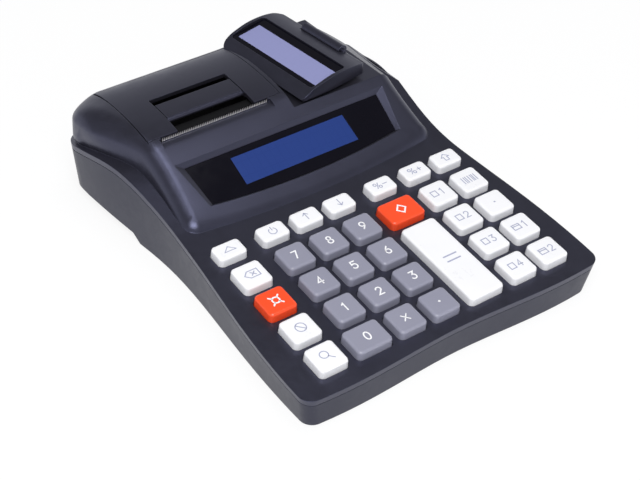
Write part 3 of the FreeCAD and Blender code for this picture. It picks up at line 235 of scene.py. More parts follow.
def glossy_window():
    """Black acrylic panel: deep, smooth, with faint wiping marks and a clear coat."""
    material, tree, surface, place = new_finish("window_gloss")
    use = placed(tree, HANDLED, {"Place": place, "Spread": 30.0})
    edges = placed(tree, EDGE_WEAR_AND_HIGHLIGHT, {"Radius": 0.0003, "Gain": EDGE_GAIN})
    tone = blended(tree, use.outputs["Cloud"], colour(0.0030, 0.0027, 0.0055),
                   colour(0.0045, 0.0042, 0.0080))
    # Painted highlight: the window's rounded edges are painted a little lighter.
    share = add(tree, "ShaderNodeMath", {0: edges.outputs["Edge"], 1: 0.2}, operation="MULTIPLY")
    tone = blended(tree, share.outputs[0], tone, colour(0.05, 0.05, 0.06))
    tree.links.new(tone, surface.inputs["Base Color"])
    gloss = add(tree, "ShaderNodeMapRange", {"Value": use.outputs["Smudge"], "To Min": 0.07,
                                             "To Max": 0.17})
    tree.links.new(gloss.outputs["Result"], surface.inputs["Roughness"])
    tree.links.new(edges.outputs["Normal"], surface.inputs["Normal"])
    surface.inputs["Specular IOR Level"].default_value = 0.12
    surface.inputs["Coat Weight"].default_value = 0.03
    surface.inputs["Coat Roughness"].default_value = 0.04
    return material


def character_panel(name, lit, unlit, edge_tone, turn, centre, cell, rough):
    """A liquid-crystal panel: rows of faint character cells on an even field."""
    material, tree, surface, place = new_finish(name)
    moved = add(tree, "ShaderNodeVectorMath", {0: place, 1: centre}, operation="SUBTRACT")
    turned = add(tree, "ShaderNodeMapping", {"Vector": moved.outputs[0], "Rotation": turn,
                                             "Scale": (1000.0, 1000.0, 1000.0)})
    cells = add(tree, "ShaderNodeTexBrick",
                {"Vector": turned.outputs[0], "Color1": colour(*lit), "Color2": colour(*lit),
                 "Mortar": colour(*unlit), "Scale": 1.0, "Mortar Size": 0.22,
                 "Mortar Smooth": 0.6, "Brick Width": cell[0], "Row Height": cell[1]},
                offset=0.0, squash=1.0)
    use = placed(tree, HANDLED, {"Place": place, "Spread": 14.0})
    tone = blended(tree, use.outputs["Cloud"], cells.outputs["Color"], colour(*edge_tone))
    tree.links.new(tone, surface.inputs["Base Color"])
    gloss = add(tree, "ShaderNodeMapRange", {"Value": use.outputs["Smudge"], "To Min": rough,
                                             "To Max": rough + 0.03})
    tree.links.new(gloss.outputs["Result"], surface.inputs["Roughness"])
    surface.inputs["Specular IOR Level"].default_value = 0.25
    return material


def brushed_metal(name, pale, dark, rough, across):
    """Metal with fine lines along one direction."""
    material, tree, surface, place = new_finish(name)
    lines = add(tree, "ShaderNodeMapping", {"Vector": place, "Scale": across})
    streaks = add(tree, "ShaderNodeTexNoise", {"Vector": lines.outputs[0], "Scale": 1.0,
                                               "Detail": 5.0, "Roughness": 0.65})
    use = placed(tree, HANDLED, {"Place": place, "Spread": 60.0})
    tone = blended(tree, streaks.outputs["Fac"], colour(*pale), colour(*dark))
    tree.links.new(tone, surface.inputs["Base Color"])
    gloss = add(tree, "ShaderNodeMapRange", {"Value": use.outputs["Smudge"], "To Min": rough,
                                             "To Max": rough + 0.14})
    tree.links.new(gloss.outputs["Result"], surface.inputs["Roughness"])
    edges = placed(tree, EDGE_WEAR_AND_HIGHLIGHT, {"Radius": 0.0001, "Gain": EDGE_GAIN})
    bump = add(tree, "ShaderNodeBump", {"Strength": 0.3, "Distance": 0.00001,
                                        "Height": streaks.outputs["Fac"],
                                        "Normal": edges.outputs["Normal"]})
    tree.links.new(bump.outputs["Normal"], surface.inputs["Normal"])
    surface.inputs["Metallic"].default_value = 1.0
    return material


def board_green():
    """Circuit board: solder mask over faint copper tracks."""
    material, tree, surface, place = new_finish("board_green")
    tracks = add(tree, "ShaderNodeTexBrick",
                 {"Vector": place, "Color1": colour(0.012, 0.09, 0.035),
                  "Color2": colour(0.015, 0.11, 0.045), "Mortar": colour(0.03, 0.18, 0.07),
                  "Scale": 240.0, "Mortar Size": 0.06, "Brick Width": 1.7,
                  "Row Height": 0.45})
    use = placed(tree, HANDLED, {"Place": place, "Spread": 40.0})
    tone = blended(tree, use.outputs["Smudge"], tracks.outputs["Color"],
                   colour(0.01, 0.07, 0.03))
    tree.links.new(tone, surface.inputs["Base Color"])
    bump = add(tree, "ShaderNodeBump", {"Strength": 0.4, "Distance": 0.00004,
                                        "Height": tracks.outputs["Fac"]})
    tree.links.new(bump.outputs["Normal"], surface.inputs["Normal"])
    surface.inputs["Roughness"].default_value = 0.35
    return material


HAZE = (0.60, 0.63, 1.0)
# Each moulding's second colour is its edge tone: partly wear, partly a painted highlight along the rounded
# edges.
FINISHES = {
    "black_plastic": moulded("case_black", (0.0135, 0.0130, 0.0175), (0.050, 0.054, 0.075),
                             0.38, 0.08, tint=HAZE, level=1.0, dust=0.006),
    "slate_plastic": moulded("case_slate", (0.0150, 0.0155, 0.0250), (0.050, 0.054, 0.080),
                             0.40, 0.08, tint=HAZE, level=0.45, dust=0.006),
    "window_black": glossy_window(),
    "lcd_blue": character_panel("panel_blue", (0.0145, 0.0370, 0.175), (0.0125, 0.0325, 0.155),
                                (0.0190, 0.0420, 0.180), (math.radians(-24.1), 0.0, 0.0),
                                (-0.0329, 0.0177, 0.0), (4.11, 7.85), 0.16),
    "lcd_lavender": character_panel("panel_lavender", (0.235, 0.247, 0.455),
                                    (0.220, 0.232, 0.430), (0.25, 0.262, 0.47),
                                    (0.0, 0.0, math.radians(-7.0)), (0.03, 0.045, 0.0),
                                    (7.25, 3.66), 0.2),
    "key_white": moulded("key_white", (0.85, 0.85, 0.875), (0.91, 0.91, 0.93), 0.32, 0.05,
                         edge=0.0002, wear=0.2, grain=3000.0, spread=45.0),
    "key_grey": moulded("key_grey", (0.270, 0.272, 0.345), (0.46, 0.46, 0.54), 0.27, 0.05,
                        edge=0.0002, wear=0.35, grain=3000.0, spread=45.0),
    "key_red": moulded("key_red", (0.92, 0.080, 0.022), (0.95, 0.20, 0.10), 0.27, 0.05,
                       edge=0.0002, wear=0.3, grain=3000.0, spread=45.0),
    "rubber": moulded("roller_rubber", (0.007, 0.007, 0.008), (0.02, 0.02, 0.02), 0.85, 0.10,
                      grain=1500.0, depth=0.00004, level=0.1, dust=0.0),
    "steel": brushed_metal("bare_steel", (0.80, 0.78, 0.78), (0.58, 0.56, 0.56), 0.42,
                           (40.0, 3000.0, 3000.0)),
    "brass": brushed_metal("turned_brass", (0.78, 0.56, 0.26), (0.60, 0.40, 0.16), 0.24,
                           (3000.0, 200.0, 200.0)),
    "gear_plastic": moulded("gear_cream", (0.70, 0.69, 0.63), (0.80, 0.79, 0.74), 0.36, 0.10,
                            grain=1800.0, edge=0.0001),
    "chassis_plastic": moulded("chassis_black", (0.016, 0.016, 0.018), (0.05, 0.05, 0.055),
                               0.55, 0.12, grain=1800.0, dust=0.05),
    "ceramic_head": moulded("head_ceramic", (0.30, 0.28, 0.26), (0.5, 0.48, 0.52), 0.30, 0.10,
                            grain=2200.0, edge=0.0001),
    "circuit_board": board_green(),
    "battery_wrap": moulded("battery_wrap", (0.03, 0.06, 0.20), (0.08, 0.12, 0.30), 0.30, 0.12,
                            grain=900.0, depth=0.00003),
}
LEGEND_GREY = moulded("legend_grey", (0.36, 0.38, 0.52), (0.45, 0.47, 0.53), 0.5, 0.1,
                      edge=0.0001, wear=0.1, spread=90.0)
LEGEND_WHITE = moulded("legend_white", (0.84, 0.84, 0.86), (0.9, 0.9, 0.9), 0.5, 0.1,
                       edge=0.0001, wear=0.1, spread=90.0)


# Key caps

def deck_point(x, along, up):
    """A point by its place on the tilted deck and its height above it, in millimetres."""
    y = along * math.cos(DECK_TILT) - up * math.sin(DECK_TILT) - HALF_DEPTH
    z = DECK_FRONT + along * math.sin(DECK_TILT) + up * math.cos(DECK_TILT)
    return Vector((x, y, z)) * MM


def rounded_outline(width, depth, radius, steps=7):
    """Points round a rectangle with round corners, the same number for every size."""
    points = []
    for turn, (sign_x, sign_y) in enumerate([(1, 1), (-1, 1), (-1, -1), (1, -1)]):
        middle_x = sign_x * (width / 2 - radius)
        middle_y = sign_y * (depth / 2 - radius)
        for step in range(steps + 1):
            angle = math.radians(90 * turn + 90 * step / steps)
            points.append((middle_x + radius * math.cos(angle),
                           middle_y + radius * math.sin(angle)))
    return points


def cap_rings(width, depth):
    """Rings from the hidden flange up over the soft top edge: inset and height."""
    edge = 1.15
    rings = [(-FLANGE, -3.5), (-FLANGE, -2.5), (0.0, -2.5), (0.02, 0.0)]
    rings.append((0.22, RISE - edge - 0.12))
    for step in range(6):
        angle = math.radians(8 + 82 * step / 5)
        rings.append((0.25 + edge * (1 - math.cos(angle)), RISE - edge + edge * math.sin(angle)))
    rings.append((edge + 0.55, RISE + 0.01))
    outlines = []
    for inset, height in rings:
        radius = max(CORNER - inset, 0.35) if inset >= 0 else 0.3
        outline = rounded_outline(width - 2 * inset, depth - 2 * inset, radius)
        outlines.append([(x, y, height) for x, y in outline])
    return outlines


def add_keycap(mesh, centre, width, depth):
    rings = [[mesh.verts.new(deck_point(centre[0] + x, centre[1] + y, up)) for x, y, up in ring]
             for ring in cap_rings(width, depth)]
    count = len(rings[0])
    for low, high in zip(rings, rings[1:]):
        for step in range(count):
            following = (step + 1) % count
            face = mesh.faces.new((low[step], low[following], high[following], high[step]))
            face.smooth = True
    mesh.faces.new(rings[-1]).smooth = True
    mesh.faces.new(list(reversed(rings[0])))


def add_stroke(mesh, centre, points, width, closed=False):
    """One stroke of a legend: a flat ribbon with round ends, just proud of the cap."""
    half = width / 2
    spots = [Vector(point) for point in points]
    if closed and (spots[0] - spots[-1]).length < 0.001:
        spots = spots[:-1]
    count = len(spots)
    left, right = [], []

    def lay(point):
        return mesh.verts.new(deck_point(centre[0] + point.x, centre[1] + point.y, RISE + 0.045))

    for index, spot in enumerate(spots):
        before = spots[index - 1] if (closed or index > 0) else None
        after = spots[(index + 1) % count] if (closed or index < count - 1) else None
        heading_in = (spot - before).normalized() if before is not None else None
        heading_out = (after - spot).normalized() if after is not None else None
        heading_in = heading_in or heading_out
        heading_out = heading_out or heading_in
        side = (heading_in + heading_out).orthogonal()
        side = side.normalized() if side.length > 0.001 else heading_in.orthogonal()
        reach = half / max(abs(side.dot(heading_in.orthogonal())), 0.45)
        left.append(lay(spot + side * reach))
        right.append(lay(spot - side * reach))
    pairs = list(zip(left, right))
    turns = zip(pairs, pairs[1:] + pairs[:1]) if closed else zip(pairs, pairs[1:])
    for (left_a, right_a), (left_b, right_b) in turns:
        mesh.faces.new((right_a, right_b, left_b, left_a)).material_index = 1
    if closed:
        return
    for end, inner, pair in ((0, 1, pairs[0]), (count - 1, count - 2, pairs[-1])):
        outward = (spots[end] - spots[inner]).normalized()
        start = outward.orthogonal()
        arc = []
        for step in range(1, 6):
            angle = math.pi * step / 6
            arc.append(lay(spots[end] + half * (start * math.cos(angle)
                                                + outward * math.sin(angle))))
        first, last = pair if end == count - 1 else (pair[1], pair[0])
        face = mesh.faces.new([first] + arc + [last])
        face.material_index = 1


def arc(middle_x, middle_y, reach_x, reach_y, start, end, steps=14):
    points = []
    for step in range(steps + 1):
        angle = math.radians(start + (end - start) * step / steps)
        points.append((middle_x + reach_x * math.cos(angle),
                       middle_y + reach_y * math.sin(angle)))
    return points


DIGITS = {
    "0": [(arc(0, 0, 0.30, 0.5, 0, 360, 24), True)],
    "1": [([(-0.17, 0.33), (0.04, 0.5), (0.04, -0.5)], False)],
    "2": [(arc(0, 0.22, 0.28, 0.28, 165, -38) + [(-0.29, -0.5), (0.30, -0.5)], False)],
    "3": [([(-0.26, 0.5), (0.26, 0.5), (-0.03, 0.12)] + arc(-0.02, -0.19, 0.30, 0.31, 80, -150),
           False)],
    "4": [([(0.13, -0.5), (0.13, 0.5), (-0.31, -0.2), (0.32, -0.2)], False)],
    "5": [([(0.26, 0.5), (-0.21, 0.5), (-0.25, 0.08)] + arc(-0.02, -0.18, 0.30, 0.32, 118, -150),
           False)],
    "6": [(arc(0, -0.2, 0.29, 0.30, 0, 360, 20), True),
          ([(0.16, 0.5), (-0.10, 0.22), (-0.27, -0.08)], False)],
    "7": [([(-0.28, 0.5), (0.29, 0.5), (-0.10, -0.5)], False)],
    "8": [(arc(0, 0.25, 0.23, 0.25, 0, 360, 18), True),
          (arc(0, -0.24, 0.29, 0.26, 0, 360, 20), True)],
    "9": [(arc(0, 0.2, 0.29, 0.30, 0, 360, 20), True),
          ([(-0.16, -0.5), (0.10, -0.22), (0.27, 0.08)], False)],
}


def larger(strokes, by):
    return [([(x * by, y * by) for x, y in points], closed) for points, closed in strokes]


def digit(figure, height, x=0.0, y=0.0):
    strokes = []
    for points, closed in DIGITS[figure]:
        strokes.append(([(x + height * px, y + height * py) for px, py in points], closed))
    return strokes


def feed_sign():
    return [([(-2.6, -1.1), (0, 1.4), (2.6, -1.1), (-2.6, -1.1)], True)]


def power_sign():
    return [(arc(0, -0.3, 1.7, 1.7, 125, 415, 20), False), ([(0, 0.3), (0, 2.1)], False)]


def arrow_sign(turn):
    return [([(0, -1.9 * turn), (0, 1.9 * turn)], False),
            ([(-1.2, 0.7 * turn), (0, 1.9 * turn), (1.2, 0.7 * turn)], False)]


def share_sign(plus):
    strokes = [(arc(-2.5, 0.9, 0.65, 0.75, 0, 360, 12), True),
               (arc(-0.6, -0.9, 0.65, 0.75, 0, 360, 12), True),
               ([(-0.7, 1.6), (-2.4, -1.6)], False), ([(1.1, 0), (3.1, 0)], False)]
    if plus:
        strokes.append(([(2.1, -1.0), (2.1, 1.0)], False))
    return strokes


def shift_sign():
    return [([(0, 2.1), (2.0, 0.2), (0.9, 0.2), (0.9, -1.9), (-0.9, -1.9), (-0.9, 0.2),
              (-2.0, 0.2)], True)]


def erase_sign():
    return [([(-3.0, 0), (-1.3, 1.7), (2.8, 1.7), (2.8, -1.7), (-1.3, -1.7)], True),
            ([(-0.3, 0.8), (1.4, -0.8)], False), ([(-0.3, -0.8), (1.4, 0.8)], False)]


def lozenge_sign():
    return [([(0, 2.3), (2.1, 0), (0, -2.3), (-2.1, 0)], True)]


def coin_sign():
    strokes = [(arc(0, 0, 1.35, 1.35, 0, 360, 18), True)]
    for side_x in (-1, 1):
        for side_y in (-1, 1):
            strokes.append(([(1.05 * side_x, 1.05 * side_y), (1.95 * side_x, 1.95 * side_y)],
                            False))
    return strokes


def bars_sign():
    return [([(x, -1.7), (x, 1.7)], False) for x in (-3.0, -1.9, -1.1, 0.1, 1.3, 2.0, 3.0)]


def void_sign():
    return [(arc(0, 0, 2.0, 2.0, 0, 360, 22), True), ([(-1.35, 1.35), (1.35, -1.35)], False)]


def lookup_sign():
    return [(arc(-0.6, 0.6, 1.6, 1.6, 0, 360, 18), True), ([(0.55, -0.55), (2.2, -2.2)], False)]


def times_sign():
    return [([(-1.5, 1.7), (1.5, -1.7)], False), ([(-1.5, -1.7), (1.5, 1.7)], False)]


def point_sign():
    return [([(-0.03, 0), (0.03, 0)], False)]


def equals_sign():
    return [([(-2.4, 1.1), (2.4, 1.1)], False), ([(-2.4, -1.1), (2.4, -1.1)], False)]


def group_sign(figure):
    box = [([(-3.6, 1.5), (-0.9, 1.5), (-0.9, -1.5), (-3.6, -1.5)], True)]
    return box + digit(figure, 3.4, 1.6)


def card_sign(figure):
    card = [([(-4.0, 1.4), (-0.4, 1.4), (-0.4, -1.4), (-4.0, -1.4)], True),
            ([(-3.9, 0.52), (-0.5, 0.45)], False)]
    return card + digit(figure, 3.4, 2.0)


# Each key: column, row, width, depth, finish, its legend and the stroke's width
KEYS = {
    "key_feed": ("a", 5, KEY, SMALL_KEY, "key_white", larger(feed_sign(), 1.15), 0.48),
    "key_power": ("b", 5, KEY, SMALL_KEY, "key_white", larger(power_sign(), 1.15), 0.48),
    "key_up": ("c", 5, KEY, SMALL_KEY, "key_white", larger(arrow_sign(1), 1.15), 0.48),
    "key_down": ("d", 5, KEY, SMALL_KEY, "key_white", larger(arrow_sign(-1), 1.15), 0.48),
    "key_percent_minus": ("e_small", 5, KEY, SMALL_KEY, "key_white", larger(share_sign(False), 1.15), 0.48),
    "key_percent_plus": ("f", 5, KEY, SMALL_KEY, "key_white", larger(share_sign(True), 1.15), 0.48),
    "key_shift": ("g", 5, KEY, SMALL_KEY, "key_white", larger(shift_sign(), 1.15), 0.48),
    "key_clear": ("a", 4, KEY, KEY, "key_white", larger(erase_sign(), 1.25), 0.52),
    "key_7": ("b", 4, KEY, KEY, "key_grey", digit("7", 4.4), 0.70),
    "key_8": ("c", 4, KEY, KEY, "key_grey", digit("8", 4.4), 0.70),
    "key_9": ("d", 4, KEY, KEY, "key_grey", digit("9", 4.4), 0.70),
    "key_subtotal": ("e", 4, WIDE_KEY, KEY, "key_red", larger(lozenge_sign(), 1.2), 0.8),
    "key_department_1": ("f", 4, KEY, KEY, "key_white", larger(group_sign("1"), 1.15), 0.52),
    "key_barcode": ("g", 4, KEY, KEY, "key_white", larger(bars_sign(), 1.25), 0.52),
    "key_price": ("a", 3, KEY, KEY, "key_red", larger(coin_sign(), 1.3), 0.8),
    "key_4": ("b", 3, KEY, KEY, "key_grey", digit("4", 4.4), 0.70),
    "key_5": ("c", 3, KEY, KEY, "key_grey", digit("5", 4.4), 0.70),
    "key_6": ("d", 3, KEY, KEY, "key_grey", digit("6", 4.4), 0.70),
    "key_department_2": ("f", 3, KEY, KEY, "key_white", larger(group_sign("2"), 1.15), 0.52),
    "key_dot": ("g", 3, KEY, KEY, "key_white", point_sign(), 1.0),
    "key_void": ("a", 2, KEY, KEY, "key_white", larger(void_sign(), 1.25), 0.5),
    "key_1": ("b", 2, KEY, KEY, "key_grey", digit("1", 4.4), 0.70),
    "key_2": ("c", 2, KEY, KEY, "key_grey", digit("2", 4.4), 0.70),
    "key_3": ("d", 2, KEY, KEY, "key_grey", digit("3", 4.4), 0.70),
    "key_total": ("e", 2, WIDE_KEY, TALL_KEY, "key_white", larger(equals_sign(), 1.5), 0.8),
    "key_department_3": ("f", 2, KEY, KEY, "key_white", larger(group_sign("3"), 1.15), 0.52),
    "key_payment_1": ("g", 2, KEY, KEY, "key_white", larger(card_sign("1"), 1.15), 0.52),
    "key_lookup": ("a", 1, KEY, KEY, "key_white", larger(lookup_sign(), 1.25), 0.5),
    "key_0": ("b", 1, ZERO_KEY, KEY, "key_grey", digit("0", 4.4), 0.70),
    "key_multiply": ("c", 1, KEY, KEY, "key_grey", times_sign(), 0.6),
    "key_point": ("d", 1, KEY, KEY, "key_grey", point_sign(), 1.2),
    "key_department_4": ("f", 1, KEY, KEY, "key_white", larger(group_sign("4"), 1.15), 0.52),
    "key_payment_2": ("g", 1, KEY, KEY, "key_white", larger(card_sign("2"), 1.15), 0.52),
}


def add_piece(name, mesh, body, finishes, stands_for=()):
    """A finished piece of the register, riding on its body."""
    data = bpy.data.meshes.new(name)
    mesh.to_mesh(data)
    mesh.free()
    piece = bpy.data.objects.new(name, data)
    bpy.context.scene.collection.objects.link(piece)
    for finish in finishes:
        data.materials.append(finish)
    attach(piece, body)
    if stands_for:
        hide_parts(*stands_for)
    return piece


def make_keycaps():
    for name, (column, row, width, depth, finish, legend, stroke) in KEYS.items():
        x = COLUMN[column]
        if name == "key_0":
            x -= (ZERO_KEY - KEY) / 2
        centre = (x, ROW[row])
        mesh = bmesh.new()
        add_keycap(mesh, centre, width, depth)
        bmesh.ops.recalc_face_normals(mesh, faces=mesh.faces)
        for points, closed in legend:
            add_stroke(mesh, centre, points, stroke, closed)
        print_tone = LEGEND_GREY if finish == "key_white" else LEGEND_WHITE
        add_piece(name + "_cap", mesh, name, [FINISHES[finish], print_tone], (name,))


# Mouldings with soft edges, and finishes for the rest

SOFT_MOULDINGS = {
    "top_housing": "case", "base_shell": "case", "printer_lid": "lid", "lid_lever": "lever",
    "customer_display_case": "customer_display", "display_swivel_hinge": "case",
}


CREASE = math.radians(24)
WELD = 0.002

# The left rear corner, in millimetres from the front edge and the middle
REAR_RADIUS = 18.0
REAR_EDGE = 82.9
SWELL_START = 145.0
SWELL_FULL = 193.0
FOOT_HEIGHT = 38.6
FOOT_FALL = 0.0042
FOOT_PEAK = 160.0
WALL_INSET = 7.4
LAST_INSET = 17.5
CLOSING = 0.82
FARTHEST = 6.07
CORNER_DROP = 1.3
SIDE_FILL = 0.9
SIDE_LIMIT = -84.0


def eased(value, start, end):
    share = min(max((value - start) / (end - start), 0.0), 1.0)
    return share * share * (3.0 - 2.0 * share)


def taken_out(inset):
    """How far the wall moves out, by how far it stands in from the shoulder's edge."""
    if inset < WALL_INSET:
        return CLOSING * max(inset, 0.0)
    return FARTHEST * (1.0 - eased(inset, WALL_INSET, LAST_INSET))


def fill_rear_corner(vertex, x, y, z):
    """The housing's left rear corner is full: it swells out over its shoulder towards the rear."""
    foot = eased(z - FOOT_HEIGHT + FOOT_FALL * (y - FOOT_PEAK) ** 2, -4.0, 2.5)
    if y < SWELL_START or foot == 0.0:
        return
    drop = CORNER_DROP * eased(-x, 62.0, 74.0) * eased(y, 188.0, 207.0) * eased(z, 42.0, 47.0)
    vertex.co.z -= drop * MM
    if x > -60.0:
        return
    across, along = x + REAR_EDGE - REAR_RADIUS, max(y - 2 * HALF_DEPTH + REAR_RADIUS, 0.0)
    if along > 0.0 and across < 0.0:
        reach = math.hypot(across, along)
        inset = REAR_RADIUS - reach
        facing = -across / reach
    else:
        inset = min(REAR_EDGE, 79.3 + 0.11 * (y - 150.0)) + x
        facing = 1.0 if across < 0.0 else 0.0
    high = 1.0 - 0.45 * eased(z, 45.0, 51.0)
    vertex.co.x -= taken_out(inset) * eased(y, 150.0, SWELL_FULL) * high * foot * facing * MM


def fill_left_rear(mesh, housing):
    """Both halves of the case are a little fuller along the left side at the rear."""
    for vertex in mesh.verts:
        x, y, z = vertex.co / MM
        y += HALF_DEPTH
        if housing:
            fill_rear_corner(vertex, x, y, z)
        x = vertex.co.x / MM
        fuller = x - SIDE_FILL * eased(y, 120.0, 175.0) * eased(-x, 70.0, 79.0)
        vertex.co.x = max(fuller, min(x, SIDE_LIMIT)) * MM


def soften_mouldings():
    """Joined, smoothly shaded copies of the shells, with crisp edges where the case has them."""
    for node, body in SOFT_MOULDINGS.items():
        slot = nodes[node].data.materials[0].name.split(".")[0]
        mesh = bmesh.new()
        mesh.from_mesh(nodes[node].data)
        bmesh.ops.remove_doubles(mesh, verts=mesh.verts, dist=WELD * MM)
        if node in ("top_housing", "base_shell"):
            fill_left_rear(mesh, node == "top_housing")
        for face in mesh.faces:
            face.smooth = True
            face.material_index = 0
        for edge in mesh.edges:
            if len(edge.link_faces) == 2 and edge.calc_face_angle(0) > CREASE:
                edge.smooth = False
        add_piece(node + "_moulding", mesh, body, [FINISHES[slot]], (node,))


# The tear bar, a dark blade with a row of fine pale teeth

BLADE_LEFT = -59.0
BLADE_RIGHT = 0.7
BLADE_FOOT = 43.0
BLADE_TOP = 51.55
BLADE_FRONT = 154.4
BLADE_THICKNESS = 0.6
TEETH = 60
TOOTH_HEIGHT = 1.7
TOOTH_HALF_WIDTH = 0.46
TOOTH_DEPTH = 0.62
TOOTH_TIP = 0.03
MOST_WORN = 0.86
WEAR_SEED = 7


def tooth_row():
    """A row of small teeth along X, each a little worn, joined to the blade that it stands on."""
    tree = bpy.data.node_groups.new("tooth_row", "GeometryNodeTree")
    kinds = (("Blade", "NodeSocketGeometry"), ("Count", "NodeSocketInt"),
             ("Start", "NodeSocketVector"), ("Step", "NodeSocketVector"),
             ("Height", "NodeSocketFloat"), ("Seed", "NodeSocketInt"),
             ("Finish", "NodeSocketMaterial"))
    for name, kind in kinds:
        tree.interface.new_socket(name, in_out="INPUT", socket_type=kind)
    tree.interface.new_socket("Geometry", in_out="OUTPUT", socket_type="NodeSocketGeometry")
    given = tree.nodes.new("NodeGroupInput").outputs
    step = add(tree, "ShaderNodeSeparateXYZ", {0: given["Step"]})
    line = add(tree, "GeometryNodeMeshLine", {"Count": given["Count"],
                                              "Start Location": given["Start"],
                                              "Offset": given["Step"]})
    half = add(tree, "ShaderNodeMath", {0: step.outputs["X"], 1: TOOTH_HALF_WIDTH}, operation="MULTIPLY")
    tooth = add(tree, "GeometryNodeMeshCone", {"Vertices": 4, "Radius Top": TOOTH_TIP * MM,
                                               "Radius Bottom": half.outputs[0],
                                               "Depth": given["Height"]})
    wear = add(tree, "FunctionNodeRandomValue", {"Seed": given["Seed"]}, data_type="FLOAT")
    wear.inputs[2].default_value = MOST_WORN
    wear.inputs[3].default_value = 1.0
    size = add(tree, "ShaderNodeCombineXYZ", {"X": 1.0, "Y": TOOTH_DEPTH, "Z": wear.outputs[1]})
    teeth = add(tree, "GeometryNodeInstanceOnPoints", {"Points": line.outputs[0],
                                                       "Instance": tooth.outputs[0],
                                                       "Scale": size.outputs[0]})
    real = add(tree, "GeometryNodeRealizeInstances", {"Geometry": teeth.outputs[0]})
    dressed = add(tree, "GeometryNodeSetMaterial", {"Geometry": real.outputs[0],
                                                    "Material": given["Finish"]})
    joined = add(tree, "GeometryNodeJoinGeometry")
    tree.links.new(given["Blade"], joined.inputs[0])
    tree.links.new(dressed.outputs[0], joined.inputs[0])
    result = tree.nodes.new("NodeGroupOutput")
    tree.links.new(joined.outputs[0], result.inputs[0])
    return tree


def make_tear_bar():
    """The blade as a plain strip, with its row of teeth made real on top."""
    low, high = BLADE_FOOT, BLADE_TOP - TOOTH_HEIGHT
    front = BLADE_FRONT - HALF_DEPTH
    rear = front + BLADE_THICKNESS
    corners = [Vector((x, y, z)) * MM for x in (BLADE_LEFT, BLADE_RIGHT)
               for y in (front, rear) for z in (low, high)]
    mesh = bmesh.new()
    made = [mesh.verts.new(corner) for corner in corners]
    for face in ((0, 1, 3, 2), (4, 6, 7, 5), (0, 4, 5, 1), (2, 3, 7, 6), (0, 2, 6, 4), (1, 5, 7, 3)):
        mesh.faces.new([made[index] for index in face])
    bmesh.ops.recalc_face_normals(mesh, faces=mesh.faces)
    data = bpy.data.meshes.new("tear_blade")
    mesh.to_mesh(data)
    mesh.free()
    data.materials.append(FINISHES["black_plastic"])
    blade = bpy.data.objects.new("tear_blade", data)
    bpy.context.scene.collection.objects.link(blade)
    pitch = (BLADE_RIGHT - BLADE_LEFT) / TEETH
    row = tooth_row()
    repeat = blade.modifiers.new("teeth", "NODES")
    repeat.node_group = row
    values = {"Count": TEETH, "Height": TOOTH_HEIGHT * MM, "Seed": WEAR_SEED, "Finish": FINISHES["steel"],
              "Start": Vector((BLADE_LEFT + pitch / 2, front + BLADE_THICKNESS / 2, high)) * MM,
              "Step": Vector((pitch * MM, 0.0, 0.0))}
    for socket in row.interface.items_tree:
        if socket.name in values:
            repeat[socket.identifier] = values[socket.name]
    view = bpy.context.evaluated_depsgraph_get()
    blade.data = bpy.data.meshes.new_from_object(blade.evaluated_get(view))
    blade.modifiers.clear()
    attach(blade, "case")
    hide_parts("tear_bar")


def finish_the_rest():
    dressed = set(SOFT_MOULDINGS) | set(KEYS) | {"tear_bar"}
    for node, piece in nodes.items():
        if node in dressed:
            continue
        for index, material in enumerate(piece.data.materials):
            piece.data.materials[index] = FINISHES[material.name.split(".")[0]]


# Studio

LENS = 85.71
SENSOR = 36.0
CAMERA_RIGHT = (0.81193, -0.58289, 0.03174)
CAMERA_UP = (0.35351, 0.53423, 0.76788)
CAMERA_PLACE = (-0.3475, -0.35145 - 0.107, 0.4744)
FLOOR_REACH = 4.0
FLOOR_GLOW = 0.85
HORIZON = 0.95
ZENITH = 0.10
ZENITH_HEIGHT = 0.74
OVERHEAD = (0.45, -0.25, 0.86)
OVERHEAD_GLOW = 0.16
AIM = (0, 0, 0.02)


def add_camera():
    data = bpy.data.cameras.new("camera")
    data.lens = LENS
    data.sensor_width = SENSOR
    camera = bpy.data.objects.new("camera", data)
    bpy.context.scene.collection.objects.link(camera)
    right = Vector(CAMERA_RIGHT).normalized()
    up = Vector(CAMERA_UP).normalized()
    back = right.cross(up).normalized()
    turn = Matrix((right, up, back)).transposed().to_4x4()
    camera.matrix_world = Matrix.Translation(CAMERA_PLACE) @ turn
    bpy.context.scene.camera = camera


def add_lamp(name, place, aim, size, power):
    data = bpy.data.lights.new(name, "AREA")
    data.shape = "RECTANGLE"
    data.size, data.size_y = size
    data.energy = power
    lamp = bpy.data.objects.new(name, data)
    bpy.context.scene.collection.objects.link(lamp)
    lamp.location = place
    lamp.rotation_euler = (Vector(aim) - Vector(place)).to_track_quat("-Z", "Y").to_euler()


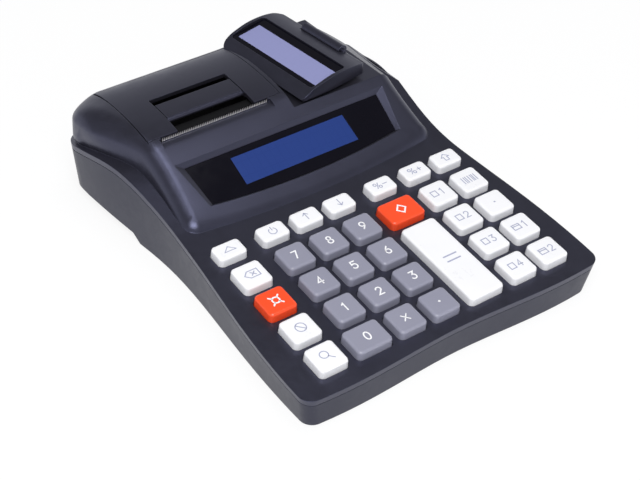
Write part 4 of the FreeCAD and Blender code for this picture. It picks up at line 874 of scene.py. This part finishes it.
def add_floor():
    mesh = bpy.data.meshes.new("floor")
    reach = FLOOR_REACH
    mesh.from_pydata([(-reach, -reach, 0), (reach, -reach, 0), (reach, reach, 0),
                      (-reach, reach, 0)], [], [(0, 1, 2, 3)])
    floor = bpy.data.objects.new("floor", mesh)
    bpy.context.scene.collection.objects.link(floor)
    material = bpy.data.materials.new("pale_floor")
    material.use_nodes = True
    tree = material.node_tree
    surface = tree.nodes["Principled BSDF"]
    surface.inputs["Base Color"].default_value = (0.94, 0.94, 0.95, 1)
    surface.inputs["Roughness"].default_value = 0.9
    glow = add(tree, "ShaderNodeEmission", {"Color": colour(1, 1, 1), "Strength": 1.0})
    path = add(tree, "ShaderNodeLightPath")
    seen = add(tree, "ShaderNodeMath", {0: path.outputs["Is Camera Ray"],
                                        1: path.outputs["Is Glossy Ray"]}, operation="MAXIMUM")
    share = add(tree, "ShaderNodeMath", {0: seen.outputs[0], 1: FLOOR_GLOW}, operation="MULTIPLY")
    mixed = add(tree, "ShaderNodeMixShader", {0: share.outputs[0], 1: surface.outputs[0],
                                              2: glow.outputs[0]})
    tree.links.new(mixed.outputs[0], tree.nodes["Material Output"].inputs["Surface"])
    mesh.materials.append(material)


def light_the_studio():
    """A dim room that is pale near the horizon, with soft boxes."""
    world = bpy.data.worlds.new("studio")
    world.use_nodes = True
    tree = world.node_tree
    back = tree.nodes["Background"]
    way = add(tree, "ShaderNodeTexCoord").outputs["Generated"]
    parts = add(tree, "ShaderNodeSeparateXYZ", {0: way})
    height = add(tree, "ShaderNodeMapRange", {"Value": parts.outputs["Z"], "From Min": 0.05,
                                              "From Max": ZENITH_HEIGHT, "To Min": HORIZON,
                                              "To Max": ZENITH})
    toward = add(tree, "ShaderNodeVectorMath", {0: way, 1: OVERHEAD},
                 operation="DOT_PRODUCT")
    overhead = add(tree, "ShaderNodeMapRange", {"Value": toward.outputs["Value"],
                                                "From Min": 0.80, "From Max": 0.97,
                                                "To Min": 0.0, "To Max": OVERHEAD_GLOW},
                   interpolation_type="SMOOTHSTEP")
    total = add(tree, "ShaderNodeMath", {0: height.outputs["Result"],
                                         1: overhead.outputs["Result"]}, operation="ADD")
    tree.links.new(total.outputs[0], back.inputs["Strength"])
    back.inputs["Color"].default_value = (0.97, 0.98, 1.0, 1)
    bpy.context.scene.world = world
    bpy.context.scene.view_settings.view_transform = "Standard"
    add_lamp("front_box", (-0.55, -0.70, 1.20), AIM, (0.9, 0.7), 19)
    add_lamp("top_box", (0.10, -0.05, 1.50), AIM, (0.7, 0.7), 6)


make_keycaps()
soften_mouldings()
make_tear_bar()
finish_the_rest()
add_camera()
add_floor()
light_the_studio()
